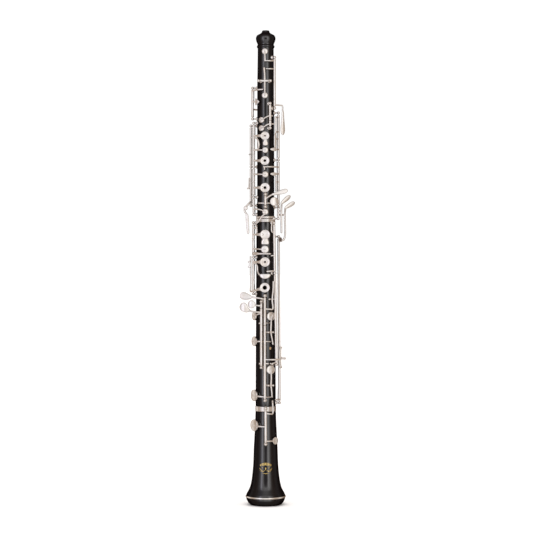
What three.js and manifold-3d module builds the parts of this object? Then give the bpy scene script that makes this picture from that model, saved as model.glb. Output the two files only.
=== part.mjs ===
// Oboe with a full keywork: upper joint, lower joint and bell, with rods, posts, keys, rings, corks.
// Millimetres, +Z up along the bore. The origin is on the bore axis at the bell's bottom face, and
// the player's fingers come from the -Y side. Each mesh is one closed solid.
import * as THREE from 'three';
import { mergeVertices } from 'three/addons/utils/BufferGeometryUtils.js';
import Module from 'manifold-3d';

const wasm = await Module();
wasm.setup();

// ---- driving dimensions ----
const LENGTH = 595;              // whole instrument without its reed
const GAP = 0.35;                // running and assembly gap between neighbours
const UPPER_BOTTOM = 358.55;     // shoulder of the upper joint
const LOWER_TOP = UPPER_BOTTOM - GAP;
const LOWER_BOTTOM = 123.6;      // shoulder of the lower joint
const BELL_TOP = LOWER_BOTTOM - GAP;

const BORE_TOP_R = 2.3;
const BORE_MIDDLE_R = 4.6;
const BORE_LOWER_R = 7.3;
const REED_WELL_R = 3.15;
const REED_WELL_BOTTOM = LENGTH - 22;
const LINER_R = REED_WELL_R + 0.4;

// tenons, each with a cork in a groove between two lands
const LAND_LENGTH = 2.2;
const CORK_INSET = 2.5;          // from the shoulder and from the tenon's end to the cork
const SOCKET_CLEARANCE = 1;      // extra depth of a socket beyond its tenon
const UPPER_TENON = tenonSizes(UPPER_BOTTOM, 17, 7.2, 7.9, 1);
const LOWER_TENON = tenonSizes(LOWER_BOTTOM, 18, 9.2, 9.9, 0.9);

// recesses turned in the wood for the metal bands
const UPPER_RECESS_R = 10.3;
const UPPER_RECESS_TOP = 361.9;
const LOWER_RECESS_R = 11;
const LOWER_RECESS_BOTTOM = 353.9;
const BELL_RECESS_R = 12;
const BELL_RECESS_BOTTOM = 116.7;

const BELL_MOUTH_R = 15.4;
const RIM_RING_R = 25.3;
const RIM_RING_Z = 10.4;
const RIM_RECESS_R = RIM_RING_R - 1.7;

const ROD_R = 0.8;               // steel pivot rod
const TUBE_R = 1.6;              // hinge tube of a key
const TUBE_BORE_R = 1.2;
const TUBE_RUNOUT = 2.5;         // clearance bored past each end of a tube
const BALL_R = 1.9;              // head of a post
const POST_FOOT_R = 1.9;
const POST_NECK_R = 0.95;
const SEAT_DEPTH = 0.55;         // from a closed pad face in to its seat

const TURNED_SIDES = 16;         // facets round a joint or band
const FINE_SIDES = 20;           // facets round a cork or the liner
const RIM_SIDES = 24;
const CUP_SIDES = 10;
const Z_AXIS = [0, 0, 1];

// Outsides of the joints, top to bottom: [radius, z]
const UPPER_PROFILE = [
  [4.6, 595], [4.75, 593.5], [5.7, 592.2], [7.5, 590.9], [9.9, 589.7], [11.5, 588.2],
  [12.3, 586], [12.35, 584.2], [11.8, 582], [10.6, 579.2], [10.1, 577.2], [10.35, 576],
  [11.1, 574.6], [10.9, 573.2], [10.05, 572], [10.05, 565], [10.65, 526.8], [10.75, 362],
];
const LOWER_PROFILE = [[11.6, 353.8], [12.15, 262], [12.7, 130], [12.7, LOWER_BOTTOM]];
const BELL_PROFILE = [
  [12.8, 116.6], [13.1, 108], [13.8, 93], [15, 70], [15.75, 50.3], [17, 36], [18.2, 28],
  [20.1, 20.8], [22.3, 16.4], [24.4, 12.6],
];
const BELL_LIP = [[24.3, 8.6], [23.2, 4.6], [21.2, 1.6], [18, 0]];
// Inside of the bell, bottom to socket: [radius, z]
const BELL_BORE = [[BELL_MOUTH_R, 1.2], [13.8, 10], [11.4, 26], [9.6, 48], [8.4, 76]];

function tenonSizes(shoulder, length, radius, corkRadius, grooveDepth) {
  return {
    shoulder,
    radius,
    corkRadius,
    end: shoulder - length,
    grooveRadius: radius - grooveDepth,
    socketRadius: corkRadius + GAP,
    socketFloor: shoulder - GAP - length - SOCKET_CLEARANCE,
  };
}

// ---- solids ----
function manifoldOf(positions, triangles) {
  return new wasm.Manifold(new wasm.Mesh({
    numProp: 3,
    vertProperties: new Float32Array(positions),
    triVerts: new Uint32Array(triangles),
  }));
}

// Welds a geometry into a closed solid whose faces point outwards.
function solid(geometry, matrix) {
  if (matrix) geometry.applyMatrix4(matrix);
  geometry.deleteAttribute('normal');
  geometry.deleteAttribute('uv');
  const welded = mergeVertices(geometry, 1e-4);
  const index = welded.index.array;
  const positions = welded.attributes.position.array;
  const triangles = [];
  for (let i = 0; i < index.length; i += 3) {
    const [a, b, c] = [index[i], index[i + 1], index[i + 2]];
    if (a !== b && b !== c && a !== c) triangles.push(a, b, c);
  }
  const result = manifoldOf(positions, triangles);
  if (result.volume() >= 0) return result;
  for (let i = 0; i < triangles.length; i += 3) {
    [triangles[i + 1], triangles[i + 2]] = [triangles[i + 2], triangles[i + 1]];
  }
  return manifoldOf(positions, triangles);
}

const vector = (point) => new THREE.Vector3(...point);
const shapeOf = (outline) => new THREE.Shape(outline.map(([x, y]) => new THREE.Vector2(x, y)));
const union = (solids) => solids.reduce((whole, part) => whole.add(part));

// Turned about Z; the [radius, z] profile is closed, or starts and ends on the axis.
function turned(profile, sides = TURNED_SIDES, matrix = undefined) {
  const points = profile.map(([radius, z]) => new THREE.Vector2(radius, z));
  const geometry = new THREE.LatheGeometry(points, sides);
  geometry.rotateX(Math.PI / 2);
  return solid(geometry, matrix);
}

// Closes an outer and an inner profile into one loop.
const ringProfile = (outer, inner) => [...outer, ...inner, outer[0]];

function bar(start, end, startRadius, endRadius, sides) {
  const from = vector(start);
  const to = vector(end);
  const direction = to.clone().sub(from);
  const length = direction.length();
  direction.normalize();
  const turn = new THREE.Quaternion().setFromUnitVectors(new THREE.Vector3(0, 1, 0), direction);
  const middle = from.add(to).multiplyScalar(0.5);
  const matrix = new THREE.Matrix4().compose(middle, turn, new THREE.Vector3(1, 1, 1));
  return solid(new THREE.CylinderGeometry(endRadius, startRadius, length, sides), matrix);
}

// Frame at the origin point whose +Z is the normal and whose +X follows the lengthwise direction.
function frame(origin, normal, lengthwise) {
  const axisZ = vector(normal).normalize();
  const axisX = vector(lengthwise);
  axisX.addScaledVector(axisZ, -axisX.dot(axisZ)).normalize();
  const axisY = axisZ.clone().cross(axisX);
  return new THREE.Matrix4().makeBasis(axisX, axisY, axisZ).setPosition(vector(origin));
}

function extruded(outline, depth, matrix) {
  const options = { depth, bevelEnabled: false, steps: 1 };
  return solid(new THREE.ExtrudeGeometry(shapeOf(outline), options), matrix);
}

// ---- parts of a key ----
// A straight four-sided arm.
function taper(startRadius, endRadius, start, end) {
  return bar(start, end, startRadius, endRadius, 4);
}

// A bent arm of even diamond section through the points.
function bend(radius, ...points) {
  const section = shapeOf([[radius, 0], [0, radius], [-radius, 0], [0, -radius]]);
  const extrudePath = new THREE.CatmullRomCurve3(points.map(vector), false, 'centripetal');
  const options = { steps: points.length - 1, bevelEnabled: false, extrudePath };
  return solid(new THREE.ExtrudeGeometry(section, options));
}

// A sheet finger piece. The outline is [along, across]; across is lengthwise x normal.
function plate(thickness, origin, normal, lengthwise, outline) {
  const flipped = outline.map(([along, across]) => [along, -across]);
  return extruded(flipped, thickness, frame(origin, normal, lengthwise));
}

function oval(halfLength, halfWidth, corners) {
  return Array.from({ length: corners }, (_, i) => {
    const angle = 2 * Math.PI * i / corners;
    return [halfLength * Math.cos(angle), halfWidth * Math.sin(angle)];
  });
}

// A cup with its pad face on z = 0 of its frame; one with a hole is a flat-topped ring.
function cupSolid({ centre, normal, radius, height, hole = 0 }) {
  const profile = hole > 0
    ? ringProfile(
      [[radius, 0], [radius, 0.5 * height], [radius * 0.84, 0.78 * height]],
      [[hole, 0.7 * height], [hole, 0]],
    )
    : [[0, 0], [radius, 0], [radius, 0.55 * height], [0.7 * radius, 0.95 * height], [0, height]];
  return turned(profile, CUP_SIDES, frame(centre, normal, Z_AXIS));
}

// Clears a cup's hole through any arm or plate that crosses it.
function cupHole({ centre, normal, hole }) {
  const [below, above] = [-2, 9].map(
    (distance) => centre.map((value, i) => value + normal[i] * distance),
  );
  return bar(below, above, hole, hole, CUP_SIDES);
}

// ---- rods ----
// start and end are the rod's ends, posts are distances along it, feet are the wood's radius under
// each post, ball is the radius of the post heads where it isn't BALL_R
const RODS = {
  side_octave_axle: { body: 'upper_joint',
    start: [11.14, -9.6, 560.3], end: [11.14, -9.6, 496.59],
    posts: [0, 63.7], feet: [10.19, 10.67] },
  octave_lever_axle: { body: 'upper_joint',
    start: [-8.87, -13.9, 530.49], end: [5.87, -13.9, 530.49],
    posts: [0, 14.75], feet: [10.6, 10.6] },
  thumb_octave_axle: { body: 'upper_joint',
    start: [-16.46, -1.2, 522.66], end: [-16.46, -1.2, 483.96],
    posts: [0, 38.71], feet: [10.65, 10.68] },
  trill_axle: { body: 'upper_joint',
    start: [5.5, -13.9, 502.3], end: [5.5, -13.9, 471.58],
    posts: [0, 30.72], feet: [10.67, 10.69] },
  left_hand_trill_axle: { body: 'upper_joint',
    start: [15.94, -4, 491.24], end: [15.94, -4, 372.64],
    posts: [0, 58.98, 118.59], feet: [10.67, 10.71, 10.98] },
  upper_stack_axle: { body: 'upper_joint',
    start: [-14.93, -4.4, 478.4], end: [-14.93, -4.4, 363.72],
    posts: [0, 92.85, 114.68], feet: [10.68, 10.74, 11.62] },
  right_trill_axle: { body: 'upper_joint',
    start: [-18.49, 1.2, 475.37], end: [-18.49, 1.2, 375.22],
    posts: [0, 51.58, 100.15], feet: [10.68, 10.72, 10.8] },
  g_sharp_touch_axle: { body: 'upper_joint',
    start: [-0.26, -15, 388.73], end: [-0.26, -15, 373.23],
    posts: [0, 15.5], feet: [10.74, 10.94] },
  left_little_finger_axle: { body: 'upper_joint',
    start: [15.64, -9.6, 376.07], end: [15.64, -9.6, 358.55],
    posts: [0, 17.52], feet: [10.75, 11.98] },
  lower_stack_axle: { body: 'lower_joint',
    start: [-15.43, -5, 353.67], end: [-15.43, -5, 264.36],
    posts: [0, 43.4, 89.31], feet: [11.75, 11.8, 12.03] },
  right_stack_axle: { body: 'lower_joint',
    start: [10.37, -12.4, 352.97], end: [13.36, -14.4, 176.11],
    posts: [0, 62.71, 176.89], feet: [11.72, 11.9, 12.47] },
  low_b_flat_axle: { body: 'lower_joint',
    start: [16.18, -4.6, 336.11], end: [17.19, -4.6, 127.85],
    posts: [0, 208.27], feet: [11.67, 12.78] },
  e_flat_cup_axle: { body: 'lower_joint',
    start: [3.18, -15.68, 216.47], end: [9.07, -13.18, 216.47],
    posts: [0, 6.4], feet: [12.27, 12.27], ball: 1.5 },
  c_sharp_cup_axle: { body: 'lower_joint',
    start: [3.33, -16.78, 150.09], end: [9.26, -14.38, 150.09],
    posts: [0, 6.4], feet: [12.6, 12.6], ball: 1.5 },
  low_c_axle: { body: 'lower_joint',
    start: [-5.49, -16.2, 254.81], end: [-5.49, -16.2, 172.48],
    posts: [0, 82.34], feet: [12.08, 12.49] },
  low_b_axle: { body: 'lower_joint',
    start: [-1, -18.6, 262.09], end: [-1, -18.6, 131.5],
    posts: [0, 130.59], feet: [12.04, 12.7] },
  bell_axle: { body: 'bell',
    start: [-0.12, -19.2, 121.59], end: [0.12, -19.4, 77.01],
    posts: [0, 44.58], feet: [12.9, 14.69] },
};

// ---- keys that turn on the rods ----
// tube:   its span along the rod
// arms:   taper(start radius, end radius, start, end) or bend(radius, ...points)
// cups:   centre is on the pad face, normal points out of the wood, lift is how far the pad stands
//         open, bore is the radius of its tone hole, hole is the radius of a hole in the cup
// plates: plate(thickness, origin, normal, lengthwise, outline)
const KEYS = {
  side_octave_key: { rod: 'side_octave_axle', tube: [2.5, 61.08],
    arms: [
      bend(0.975, [11.14, -9.6, 555.79], [7.54, -12.22, 555.71], [3.42, -13.58, 555.57],
        [-0.81, -13.64, 555.49]),
      taper(1, 0.85, [-0.81, -13.64, 555.49], [-1.11, -12.32, 567.62]),
      bend(0.875, [11.14, -9.6, 545.78], [7.94, -11.94, 545.71], [4.32, -13.28, 545.57],
        [0.57, -13.58, 545.49]),
      bend(0.9625, [11.14, -9.6, 500.72], [17.3, -7.5, 500.49], [20.82, -6.2, 499.99],
        [21.2, -6, 494.24]),
    ],
    cups: [{ centre: [-0.95, -10.6, 567.62], normal: [-0.0896, -0.996, 0],
      radius: 3.75, height: 2.3, bore: 0.7 }],
    plates: [plate(1.1, [21.32, -6.3, 479.24], [0.3499, -0.9368, 0], Z_AXIS, [
      [16.5, 0], [14, 1.4], [7, 1.7], [-4, 2.7], [-11, 3.1], [-15, 1.8], [-16.3, 0],
      [-15, -1.8], [-11, -3.1], [-4, -2.7], [7, -1.7], [14, -1.4],
    ])] },
  octave_lever: { rod: 'octave_lever_axle', tube: [2.2, 12.4],
    arms: [
      bend(1.04, [-1.88, -14.1, 546.37], [-1.25, -14.4, 537.99], [-1.13, -14.2, 530.49],
        [-1.13, -14.3, 521.74], [-1.11, -12.89, 512.49]),
    ],
    cups: [{ centre: [-0.96, -11.17, 512.49], normal: [-0.0857, -0.9963, 0],
      radius: 3.75, height: 2.3, bore: 0.7 }] },
  thumb_octave_key: { rod: 'thumb_octave_axle', tube: [2.39, 36.32],
    arms: [
      bend(1, [-16.46, -1.2, 519.15], [-13.97, -7.31, 519.3], [-9.45, -11.69, 519.59],
        [-3.82, -13.78, 519.74]),
      bend(0.9, [-16.46, -1.2, 505.82], [-12.65, -7.6, 504.74], [-10.64, -9.6, 504.74]),
      bend(1.1, [-16.46, -1.2, 497.78], [-15.6, 6.5, 496.74], [-11.5, 12.2, 496.74],
        [-5, 14.6, 496.74]),
    ],
    plates: [
      plate(1, [-10.64, -9.2, 504.74], [-0.6198, -0.7848, 0], Z_AXIS,
        [[5, -2.2], [1, 3], [0, 3.6], [-1, 3], [-5, -2.2], [-3, -3], [3, -3]]),
      plate(1.4, [-1.5, 14.3, 496.74], [0, 1, 0], Z_AXIS, oval(10.5, 5.2, 14)),
    ] },
  upper_trill_key: { rod: 'trill_axle', tube: [2.37, 21.48],
    arms: [
      bend(0.926, [5.5, -13.9, 486.81], [2.47, -14.24, 486.04], [-0.46, -13.94, 484.34],
        [-3.16, -13.08, 482.64], [-5.54, -11.71, 481.86]),
      taper(1, 0.9, [5.5, -13.9, 486.56], [8.17, -12.58, 486.74]),
    ],
    cups: [{ centre: [-4.8, -10.15, 481.86], normal: [-0.4278, -0.9039, 0],
      radius: 3.7, height: 2.3, bore: 1.6 }] },
  lower_trill_key: { rod: 'trill_axle', tube: [21.98, 28.23],
    arms: [
      bend(0.926, [5.5, -13.9, 476.82], [2.47, -14.24, 475.99], [-0.46, -13.95, 474.15],
        [-3.16, -13.08, 472.32], [-5.54, -11.72, 471.49]),
      bend(0.95, [5.5, -13.9, 476.57], [7.77, -13.04, 476.65], [9.9, -11.8, 476.74]),
    ],
    cups: [{ centre: [-4.8, -10.16, 471.49], normal: [-0.4276, -0.904, 0],
      radius: 3.7, height: 2.3, bore: 1.6 }] },
  left_trill_key: { rod: 'left_hand_trill_axle', tube: [2.76, 56.47],
    arms: [
      taper(1.1, 0.9, [15.94, -4, 485.59], [12.41, -10.41, 485.49]),
      taper(1.25, 1.25, [12.41, -10.41, 485.49], [12.35, -10.18, 464.24]),
      taper(1, 1.2, [12.35, -10.18, 466.74], [15.94, -4, 467.39]),
      taper(1.1, 1, [15.94, -4, 458.61], [12.39, -9.2, 457.99]),
      bend(1, [15.94, -4, 445.56], [13.64, -10.6, 444.98], [11.88, -12.2, 444.98]),
    ],
    plates: [
      plate(1.1, [12.01, -10.2, 456.24], [0.722, -0.6919, 0], Z_AXIS,
        [[9.6, -1.4], [8.6, 1.9], [-8.8, 1.9], [-9.6, 0], [-8.8, -2.6], [6, -2.6]]),
      plate(1.1, [10.13, -12.6, 444.98], [0.3998, -0.9166, 0], [0.9166, 0.3998, 0], [
        [4.6, 0.6], [2.5, 2.2], [-1, 2.3], [-4.4, 1.2], [-5.2, 0], [-4.4, -1.2],
        [-1, -2], [2.5, -1.8], [4.6, -0.6],
      ]),
    ] },
  a_flat_trill_key: { rod: 'left_hand_trill_axle', tube: [61.49, 115.96],
    arms: [
      bend(1, [15.94, -4, 414.68], [13.64, -10.6, 414.23], [11.88, -12.2, 414.23]),
      bend(1.05, [15.94, -4, 423.22], [13.14, -9.35, 423.18], [8.66, -13.23, 423.1],
        [3.19, -15.18, 423.02], [-2.51, -14.99, 422.98]),
      taper(0.9, 0.8, [-1.67, -15.11, 422.98], [-1.48, -15.13, 419.73]),
      taper(1.2, 1.2, [12.77, -9.8, 410.98], [12.77, -9.8, 393.48]),
      taper(1.1, 1.1, [15.94, -4, 404.64], [12.77, -9.8, 404.23]),
    ],
    plates: [plate(1.1, [10.25, -12.6, 414.23], [0.3998, -0.9166, 0], [0.9166, 0.3998, 0], [
      [4.4, 0.6], [2.5, 2.2], [-1, 2.3], [-4.4, 1.2], [-5.2, 0], [-4.4, -1.2],
      [-1, -2], [2.5, -1.8], [4.4, -0.6],
    ])] },
  half_hole_key: { rod: 'upper_stack_axle', tube: [2.51, 39.65],
    arms: [
      bend(1.324, [-14.93, -4.4, 462.34], [-13.21, -7.76, 462.25], [-10.76, -10.56, 462.04],
        [-7.76, -12.65, 461.83], [-4.39, -13.92, 461.74]),
      bend(0.976, [-14.93, -4.4, 444.52], [-12.75, -8.67, 444.44], [-9.4, -12.04, 444.25],
        [-5.21, -14.2, 444.07], [-0.62, -14.97, 443.98]),
      bend(1.15, [-11.12, -10.37, 459.24], [-9.39, -12.46, 455.49], [-8.5, -13.08, 450.49],
        [-9.75, -12.05, 445.23]),
      taper(0.8, 0.8, [-14.93, -4.4, 459.83], [-11.12, -10.37, 459.24]),
    ],
    cups: [
      { centre: [-0.76, -13.22, 461.74], normal: [-0.0577, -0.9983, 0],
        radius: 5.4, height: 2.2, hole: 0.6, lift: 2, bore: 1.6 },
      { centre: [-0.55, -13.24, 443.98], normal: [-0.0412, -0.9991, 0],
        radius: 3.75, height: 2.3, lift: 2, bore: 1.8 },
    ],
    plates: [plate(1.3, [-0.38, -13.69, 453.04], [-0.0279, -0.9996, 0], Z_AXIS, [
      [5, 1.7], [1.5, 2.4], [0, 3.3], [-2.4, 3], [-3.4, 1.6], [-3.7, 0],
      [-3.4, -1.6], [-2.4, -3], [0, -3.3], [1.5, -2.4], [5, -1.7],
    ])] },
  b_ring_key: { rod: 'upper_stack_axle', tube: [40.28, 56.46],
    arms: [
      bend(1.324, [-14.93, -4.4, 431.22], [-13.26, -7.69, 431.15], [-10.89, -10.45, 430.98],
        [-7.97, -12.53, 430.81], [-4.7, -13.84, 430.73]),
    ],
    cups: [{ centre: [-0.87, -13.23, 430.73], normal: [-0.0659, -0.9978, 0],
      radius: 5.7, height: 2.2, hole: 1.25, lift: 2, bore: 1.9 }] },
  c_vent_key: { rod: 'upper_stack_axle', tube: [57.09, 73.28],
    arms: [
      bend(0.976, [-14.93, -4.4, 414.16], [-12.74, -8.7, 414.07], [-9.35, -12.09, 413.88],
        [-5.13, -14.25, 413.69], [-0.49, -14.99, 413.61]),
    ],
    cups: [{ centre: [-0.44, -13.27, 413.61], normal: [-0.0329, -0.9995, 0],
      radius: 3.9, height: 2.3, lift: 2, bore: 2 }] },
  a_ring_key: { rod: 'upper_stack_axle', tube: [73.9, 90.34],
    arms: [
      bend(1.324, [-14.93, -4.4, 397.35], [-13.27, -7.68, 397.29], [-10.92, -10.43, 397.16],
        [-8.04, -12.51, 397.04], [-4.79, -13.83, 396.98]),
    ],
    cups: [{ centre: [-0.76, -13.26, 396.98], normal: [-0.0575, -0.9983, 0],
      radius: 6, height: 2.2, hole: 1.4, lift: 2, bore: 2.1 }] },
  g_sharp_key: { rod: 'upper_stack_axle', tube: [95.48, 112.17],
    arms: [
      bend(1, [-14.93, -4.4, 370.5], [-12.47, -8.5, 370.44], [-8.96, -11.54, 370.06],
        [-4.82, -13.29, 369.01], [-0.49, -13.65, 366.98]),
      bend(0.9, [-0.55, -14.19, 364.73], [-4.75, -14.51, 361.1], [-9.15, -13.53, 354.36],
        [-13.33, -11.18, 350.73]),
    ],
    cups: [{ centre: [-0.43, -11.93, 366.98], normal: [-0.0361, -0.9993, 0],
      radius: 3.8, height: 2.3, bore: 2.4 }] },
  right_trill_lever: { rod: 'right_trill_axle', tube: [54.35, 97.63],
    arms: [
      bend(1.22, [-18.49, 1.2, 380.38], [-21.49, -1.6, 377.23], [-25.26, -1.8, 372.73],
        [-26.52, -1.8, 368.73], [-24.38, -1.8, 364.73]),
      taper(1.1, 1, [-18.49, 1.2, 397.36], [-22.76, -0.4, 396.61]),
      taper(0.9, 1, [-20.62, -0.4, 409.23], [-21, -0.4, 396.61]),
      taper(0.9, 0.9, [-18.49, 1.2, 408.69], [-20.62, -0.4, 407.98]),
    ],
    plates: [
      plate(1.1, [-22.75, -2.2, 352.48], [-0.2, -0.9798, 0], [-0.0649, 0.0133, 0.9978], [
        [12.6, 1], [10, 2], [-6, 1.75], [-12, 1.5], [-13.6, 0],
        [-12, -1.5], [-6, -1.75], [10, -2], [12.6, -1],
      ]),
      plate(1.2, [-25.14, -2.9, 371.98], [-0.2, -0.9798, 0], Z_AXIS, oval(2.8, 2.6, 10)),
    ] },
  b_flat_trill_lever: { rod: 'right_trill_axle', tube: [2.52, 48.94],
    arms: [
      taper(1, 0.9, [-18.49, 1.2, 440.14], [-20.75, -0.8, 439.23]),
      taper(1, 0.9, [-18.49, 1.2, 461.53], [-17.71, -1.2, 460.49]),
    ] },
  g_sharp_touch: { rod: 'g_sharp_touch_axle', tube: [2.38, 13.24],
    arms: [
      bend(1.1, [-0.26, -15, 382.61], [3.24, -16.4, 385.48], [7.24, -16.4, 387.86]),
      bend(1, [-0.26, -15, 377.61], [-4.74, -14.18, 377.67], [-8.76, -12.05, 377.73]),
      bend(0.97667, [-0.26, -15, 377.61], [3.62, -14.51, 377.67], [7.22, -13.03, 377.73]),
    ],
    plates: [plate(1.1, [16.85, -15.9, 390.73], [0.06, -0.9982, 0], [0.9617, 0.0578, 0.2679], [
      [-10.2, 1.2], [-4, 1.9], [3, 2.9], [8, 2.9], [10.6, 1.6], [11.2, 0],
      [10.6, -1.6], [8, -2.9], [3, -2.9], [-4, -1.9], [-10.2, -1.2],
    ])] },
  left_e_flat_touch: { rod: 'left_little_finger_axle', tube: [2.38, 5.76],
    arms: [bend(1.1, [15.64, -9.6, 371.94], [14.87, -13, 374.23], [12.36, -15.3, 378.23])],
    plates: [
      plate(1.2, [10.61, -15, 379.73], [0.2501, -0.9682, 0], Z_AXIS, oval(5.6, 5.4, 16)),
    ] },
  left_b_touch: { rod: 'left_little_finger_axle', tube: [6.26, 10.01],
    arms: [
      bend(1.1625, [19.91, -13.1, 377.48], [19.66, -10.6, 371.73], [19.53, -9.2, 364.23],
        [19.66, -9, 341.23]),
      taper(1.2, 1.1, [15.64, -9.6, 367.94], [19.53, -10, 367.85]),
    ],
    plates: [plate(1.2, [24.86, -11.2, 382.23], [0.3, -0.9539, 0], [0.7304, 0.2297, 0.6432], [
      [-8.2, 1.3], [-3, 2.4], [3, 2.9], [6.6, 2.2], [8.4, 0],
      [6.6, -2.2], [3, -2.9], [-3, -2.4], [-8.2, -1.3],
    ])] },
  left_b_flat_touch: { rod: 'left_little_finger_axle', tube: [10.51, 15.02],
    arms: [
      bend(1.23, [24.67, -11.4, 371.98], [23.92, -8.2, 364.23], [24.05, -7.6, 336.73],
        [22.42, -8.2, 332.23], [19.16, -8.6, 331.23]),
      bend(1.0667, [15.64, -9.6, 363.3], [18.44, -6, 363.23], [23.95, -6.9, 363.23]),
    ],
    plates: [plate(1.2, [29.91, -9.6, 375.23], [0.3, -0.9539, 0], [0.8204, 0.258, 0.5102], [
      [-7.6, 1.3], [-3, 2.3], [3, 2.8], [6.4, 2.1], [8, 0],
      [6.4, -2.1], [3, -2.8], [-3, -2.3], [-7.6, -1.3],
    ])] },
  f_sharp_plate_key: { rod: 'lower_stack_axle', tube: [2.51, 21.32],
    arms: [
      bend(1.324, [-15.43, -5, 338.61], [-13.72, -8.34, 338.59], [-11.31, -11.16, 338.55],
        [-8.34, -13.33, 338.5], [-4.99, -14.74, 338.48]),
      taper(1.1, 1.1, [-11.32, -9.84, 349.98], [-11.06, -10.13, 340.98]),
      taper(1, 1, [-15.43, -5, 346.89], [-11.23, -9.94, 346.73]),
    ],
    cups: [{ centre: [-0.66, -14.2, 338.48], normal: [-0.0465, -0.9989, 0],
      radius: 6.1, height: 2.2, lift: 2, bore: 2.6 }],
    plates: [plate(1.3, [-0.67, -14.79, 330.23], [-0.0454, -0.999, 0], Z_AXIS, [
      [4.6, 3.7], [1.8, 3.5], [0.6, 4.3], [-1.4, 4.9], [-3.6, 4.7], [-4.2, 3.2],
      [-4.2, -3.2], [-3.6, -4.7], [-1.4, -4.9], [0.6, -4.3], [1.8, -3.5], [4.6, -3.7],
    ])] },
  f_vent_key: { rod: 'lower_stack_axle', tube: [21.83, 41.02],
    arms: [
      bend(1.024, [-15.43, -5, 320.68], [-13.25, -9.31, 320.57], [-9.9, -12.77, 320.33],
        [-5.69, -15.09, 320.09], [-0.99, -16.07, 319.98]),
      bend(1.45714, [-15.43, -5, 314.78], [-13.58, -8.98, 314.75], [-10.73, -12.33, 314.67],
        [-7.07, -14.81, 314.57], [-2.86, -16.22, 314.46], [1.58, -16.46, 314.38],
        [5.95, -15.5, 314.35]),
    ],
    cups: [{ centre: [-0.88, -14.28, 319.98], normal: [-0.0616, -0.9981, 0],
      radius: 4.8, height: 2.4, lift: 2, bore: 2.8 }] },
  e_plate_key: { rod: 'lower_stack_axle', tube: [45.78, 71.5],
    arms: [
      bend(1.324, [-15.43, -5, 304.24], [-13.77, -8.34, 304.24], [-11.41, -11.18, 304.23],
        [-8.49, -13.39, 304.23], [-5.16, -14.86, 304.23]),
      bend(1.05, [-12.12, -9.82, 302.48], [-10.51, -11.67, 299.23], [-10.08, -12.68, 292.97],
        [-8.17, -15.36, 288.72]),
      taper(1, 1, [-15.43, -5, 302.99], [-12.12, -9.82, 302.48]),
    ],
    cups: [{ centre: [-0.77, -14.36, 304.23], normal: [-0.0537, -0.9986, 0],
      radius: 6.1, height: 2.2, hole: 0.9, lift: 2, bore: 2.9 }],
    plates: [plate(1.3, [-0.83, -14.9, 286.47], [-0.0558, -0.9984, 0], Z_AXIS,
      [[3, 7.8], [-0.5, 6.4], [-2.4, 4.2], [-3.7, 0], [-2.4, -4.2], [-0.5, -6.4], [3, -7.8]])] },
  d_ring_key: { rod: 'lower_stack_axle', tube: [72.13, 86.93],
    arms: [
      bend(1.324, [-15.43, -5, 267.99], [-13.85, -8.29, 268.4], [-11.58, -11.13, 269.28],
        [-8.74, -13.37, 270.17], [-5.5, -14.91, 270.57]),
      bend(1.05, [-15.43, -5, 267.87], [-18.98, -1.4, 267.47], [-18.98, -0.8, 274.22],
        [-19.1, -0.8, 310.73]),
    ],
    cups: [{ centre: [-0.99, -14.51, 272.22], normal: [-0.0683, -0.9977, 0],
      radius: 6.2, height: 2.2, hole: 2.3, lift: 2, bore: 3 }],
    plates: [plate(1, [-20.36, -1.3, 301.23], [-0.2501, -0.9682, 0], Z_AXIS, [
      [4.4, 2.2], [4.4, -2], [2, -2], [2, -0.6], [-2, -0.6], [-2, -2], [-4.4, -2], [-4.4, 2.2],
    ])] },
  bridge_lever: { rod: 'right_stack_axle', tube: [2.38, 60.38],
    arms: [
      bend(1.0333, [10.56, -12.53, 341.72], [7.87, -14, 341.73], [7.74, -13.8, 355.23]),
      bend(1.125, [11.38, -13.08, 293.23], [8.37, -14.78, 293.03], [5.15, -15.83, 292.67],
        [1.85, -16.2, 292.47]),
      taper(0.95, 0.85, [11.06, -12.86, 312.47], [6.79, -13.93, 311.98]),
    ] },
  left_e_flat_link: { rod: 'right_stack_axle', tube: [65.38, 174.51],
    arms: [
      bend(1, [11.98, -13.48, 257.73], [9.6, -12.9, 257.72], [7.6, -13.2, 257.72],
        [4.1, -14.9, 257.72]),
      bend(0.98333, [13.3, -14.36, 179.74], [9.11, -16.6, 177.72], [5.86, -17.2, 177.47]),
    ] },
  low_b_flat_rod_key: { rod: 'low_b_flat_axle', tube: [2.51, 205.88],
    arms: [
      taper(1.2, 1.3, [16.21, -4.6, 330.84], [19.69, -4.9, 330.73]),
      bend(1.05, [17.17, -4.6, 131.86], [15.24, -8.98, 132.04], [12.23, -12.66, 132.21]),
      taper(1.1, 1, [16.92, -4.6, 184.31], [18.43, -6.6, 184.72]),
      bend(1.3, [18.68, -6.8, 183.47], [21.94, -6.9, 183.47], [24.2, -7, 183.47]),
    ],
    plates: [plate(1.3, [18.68, -6.4, 184.72], [0.5, -0.866, 0], Z_AXIS, [
      [13.6, -2.6], [13.6, 1.8], [11.4, 1.8], [10.9, 0.4],
      [-10.9, 0.4], [-11.4, 1.8], [-13.6, 1.8], [-13.6, -2.6],
    ])] },
  e_flat_cup_lever: { rod: 'e_flat_cup_axle', tube: [1.75, 4.65],
    arms: [
      bend(1.03, [6.94, -12.75, 236.47], [6.78, -14.68, 226.72], [6.5, -14.26, 216.47],
        [8.01, -14.16, 207.97], [9.03, -13.9, 201.47]),
    ],
    cups: [{ centre: [6.08, -11.17, 236.47], normal: [0.4781, -0.8783, 0],
      radius: 5.6, height: 2.4, bore: 3.6 }] },
  c_sharp_cup_lever: { rod: 'c_sharp_cup_axle', tube: [1.75, 4.65],
    arms: [
      bend(1.03, [6.58, -15.08, 169.72], [7.01, -16.04, 159.84], [6.7, -15.41, 150.09],
        [7.41, -15.53, 142.96], [7.94, -15.26, 135.96]),
    ],
    cups: [{ centre: [5.86, -13.43, 169.72], normal: [0.3997, -0.9166, 0],
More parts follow.
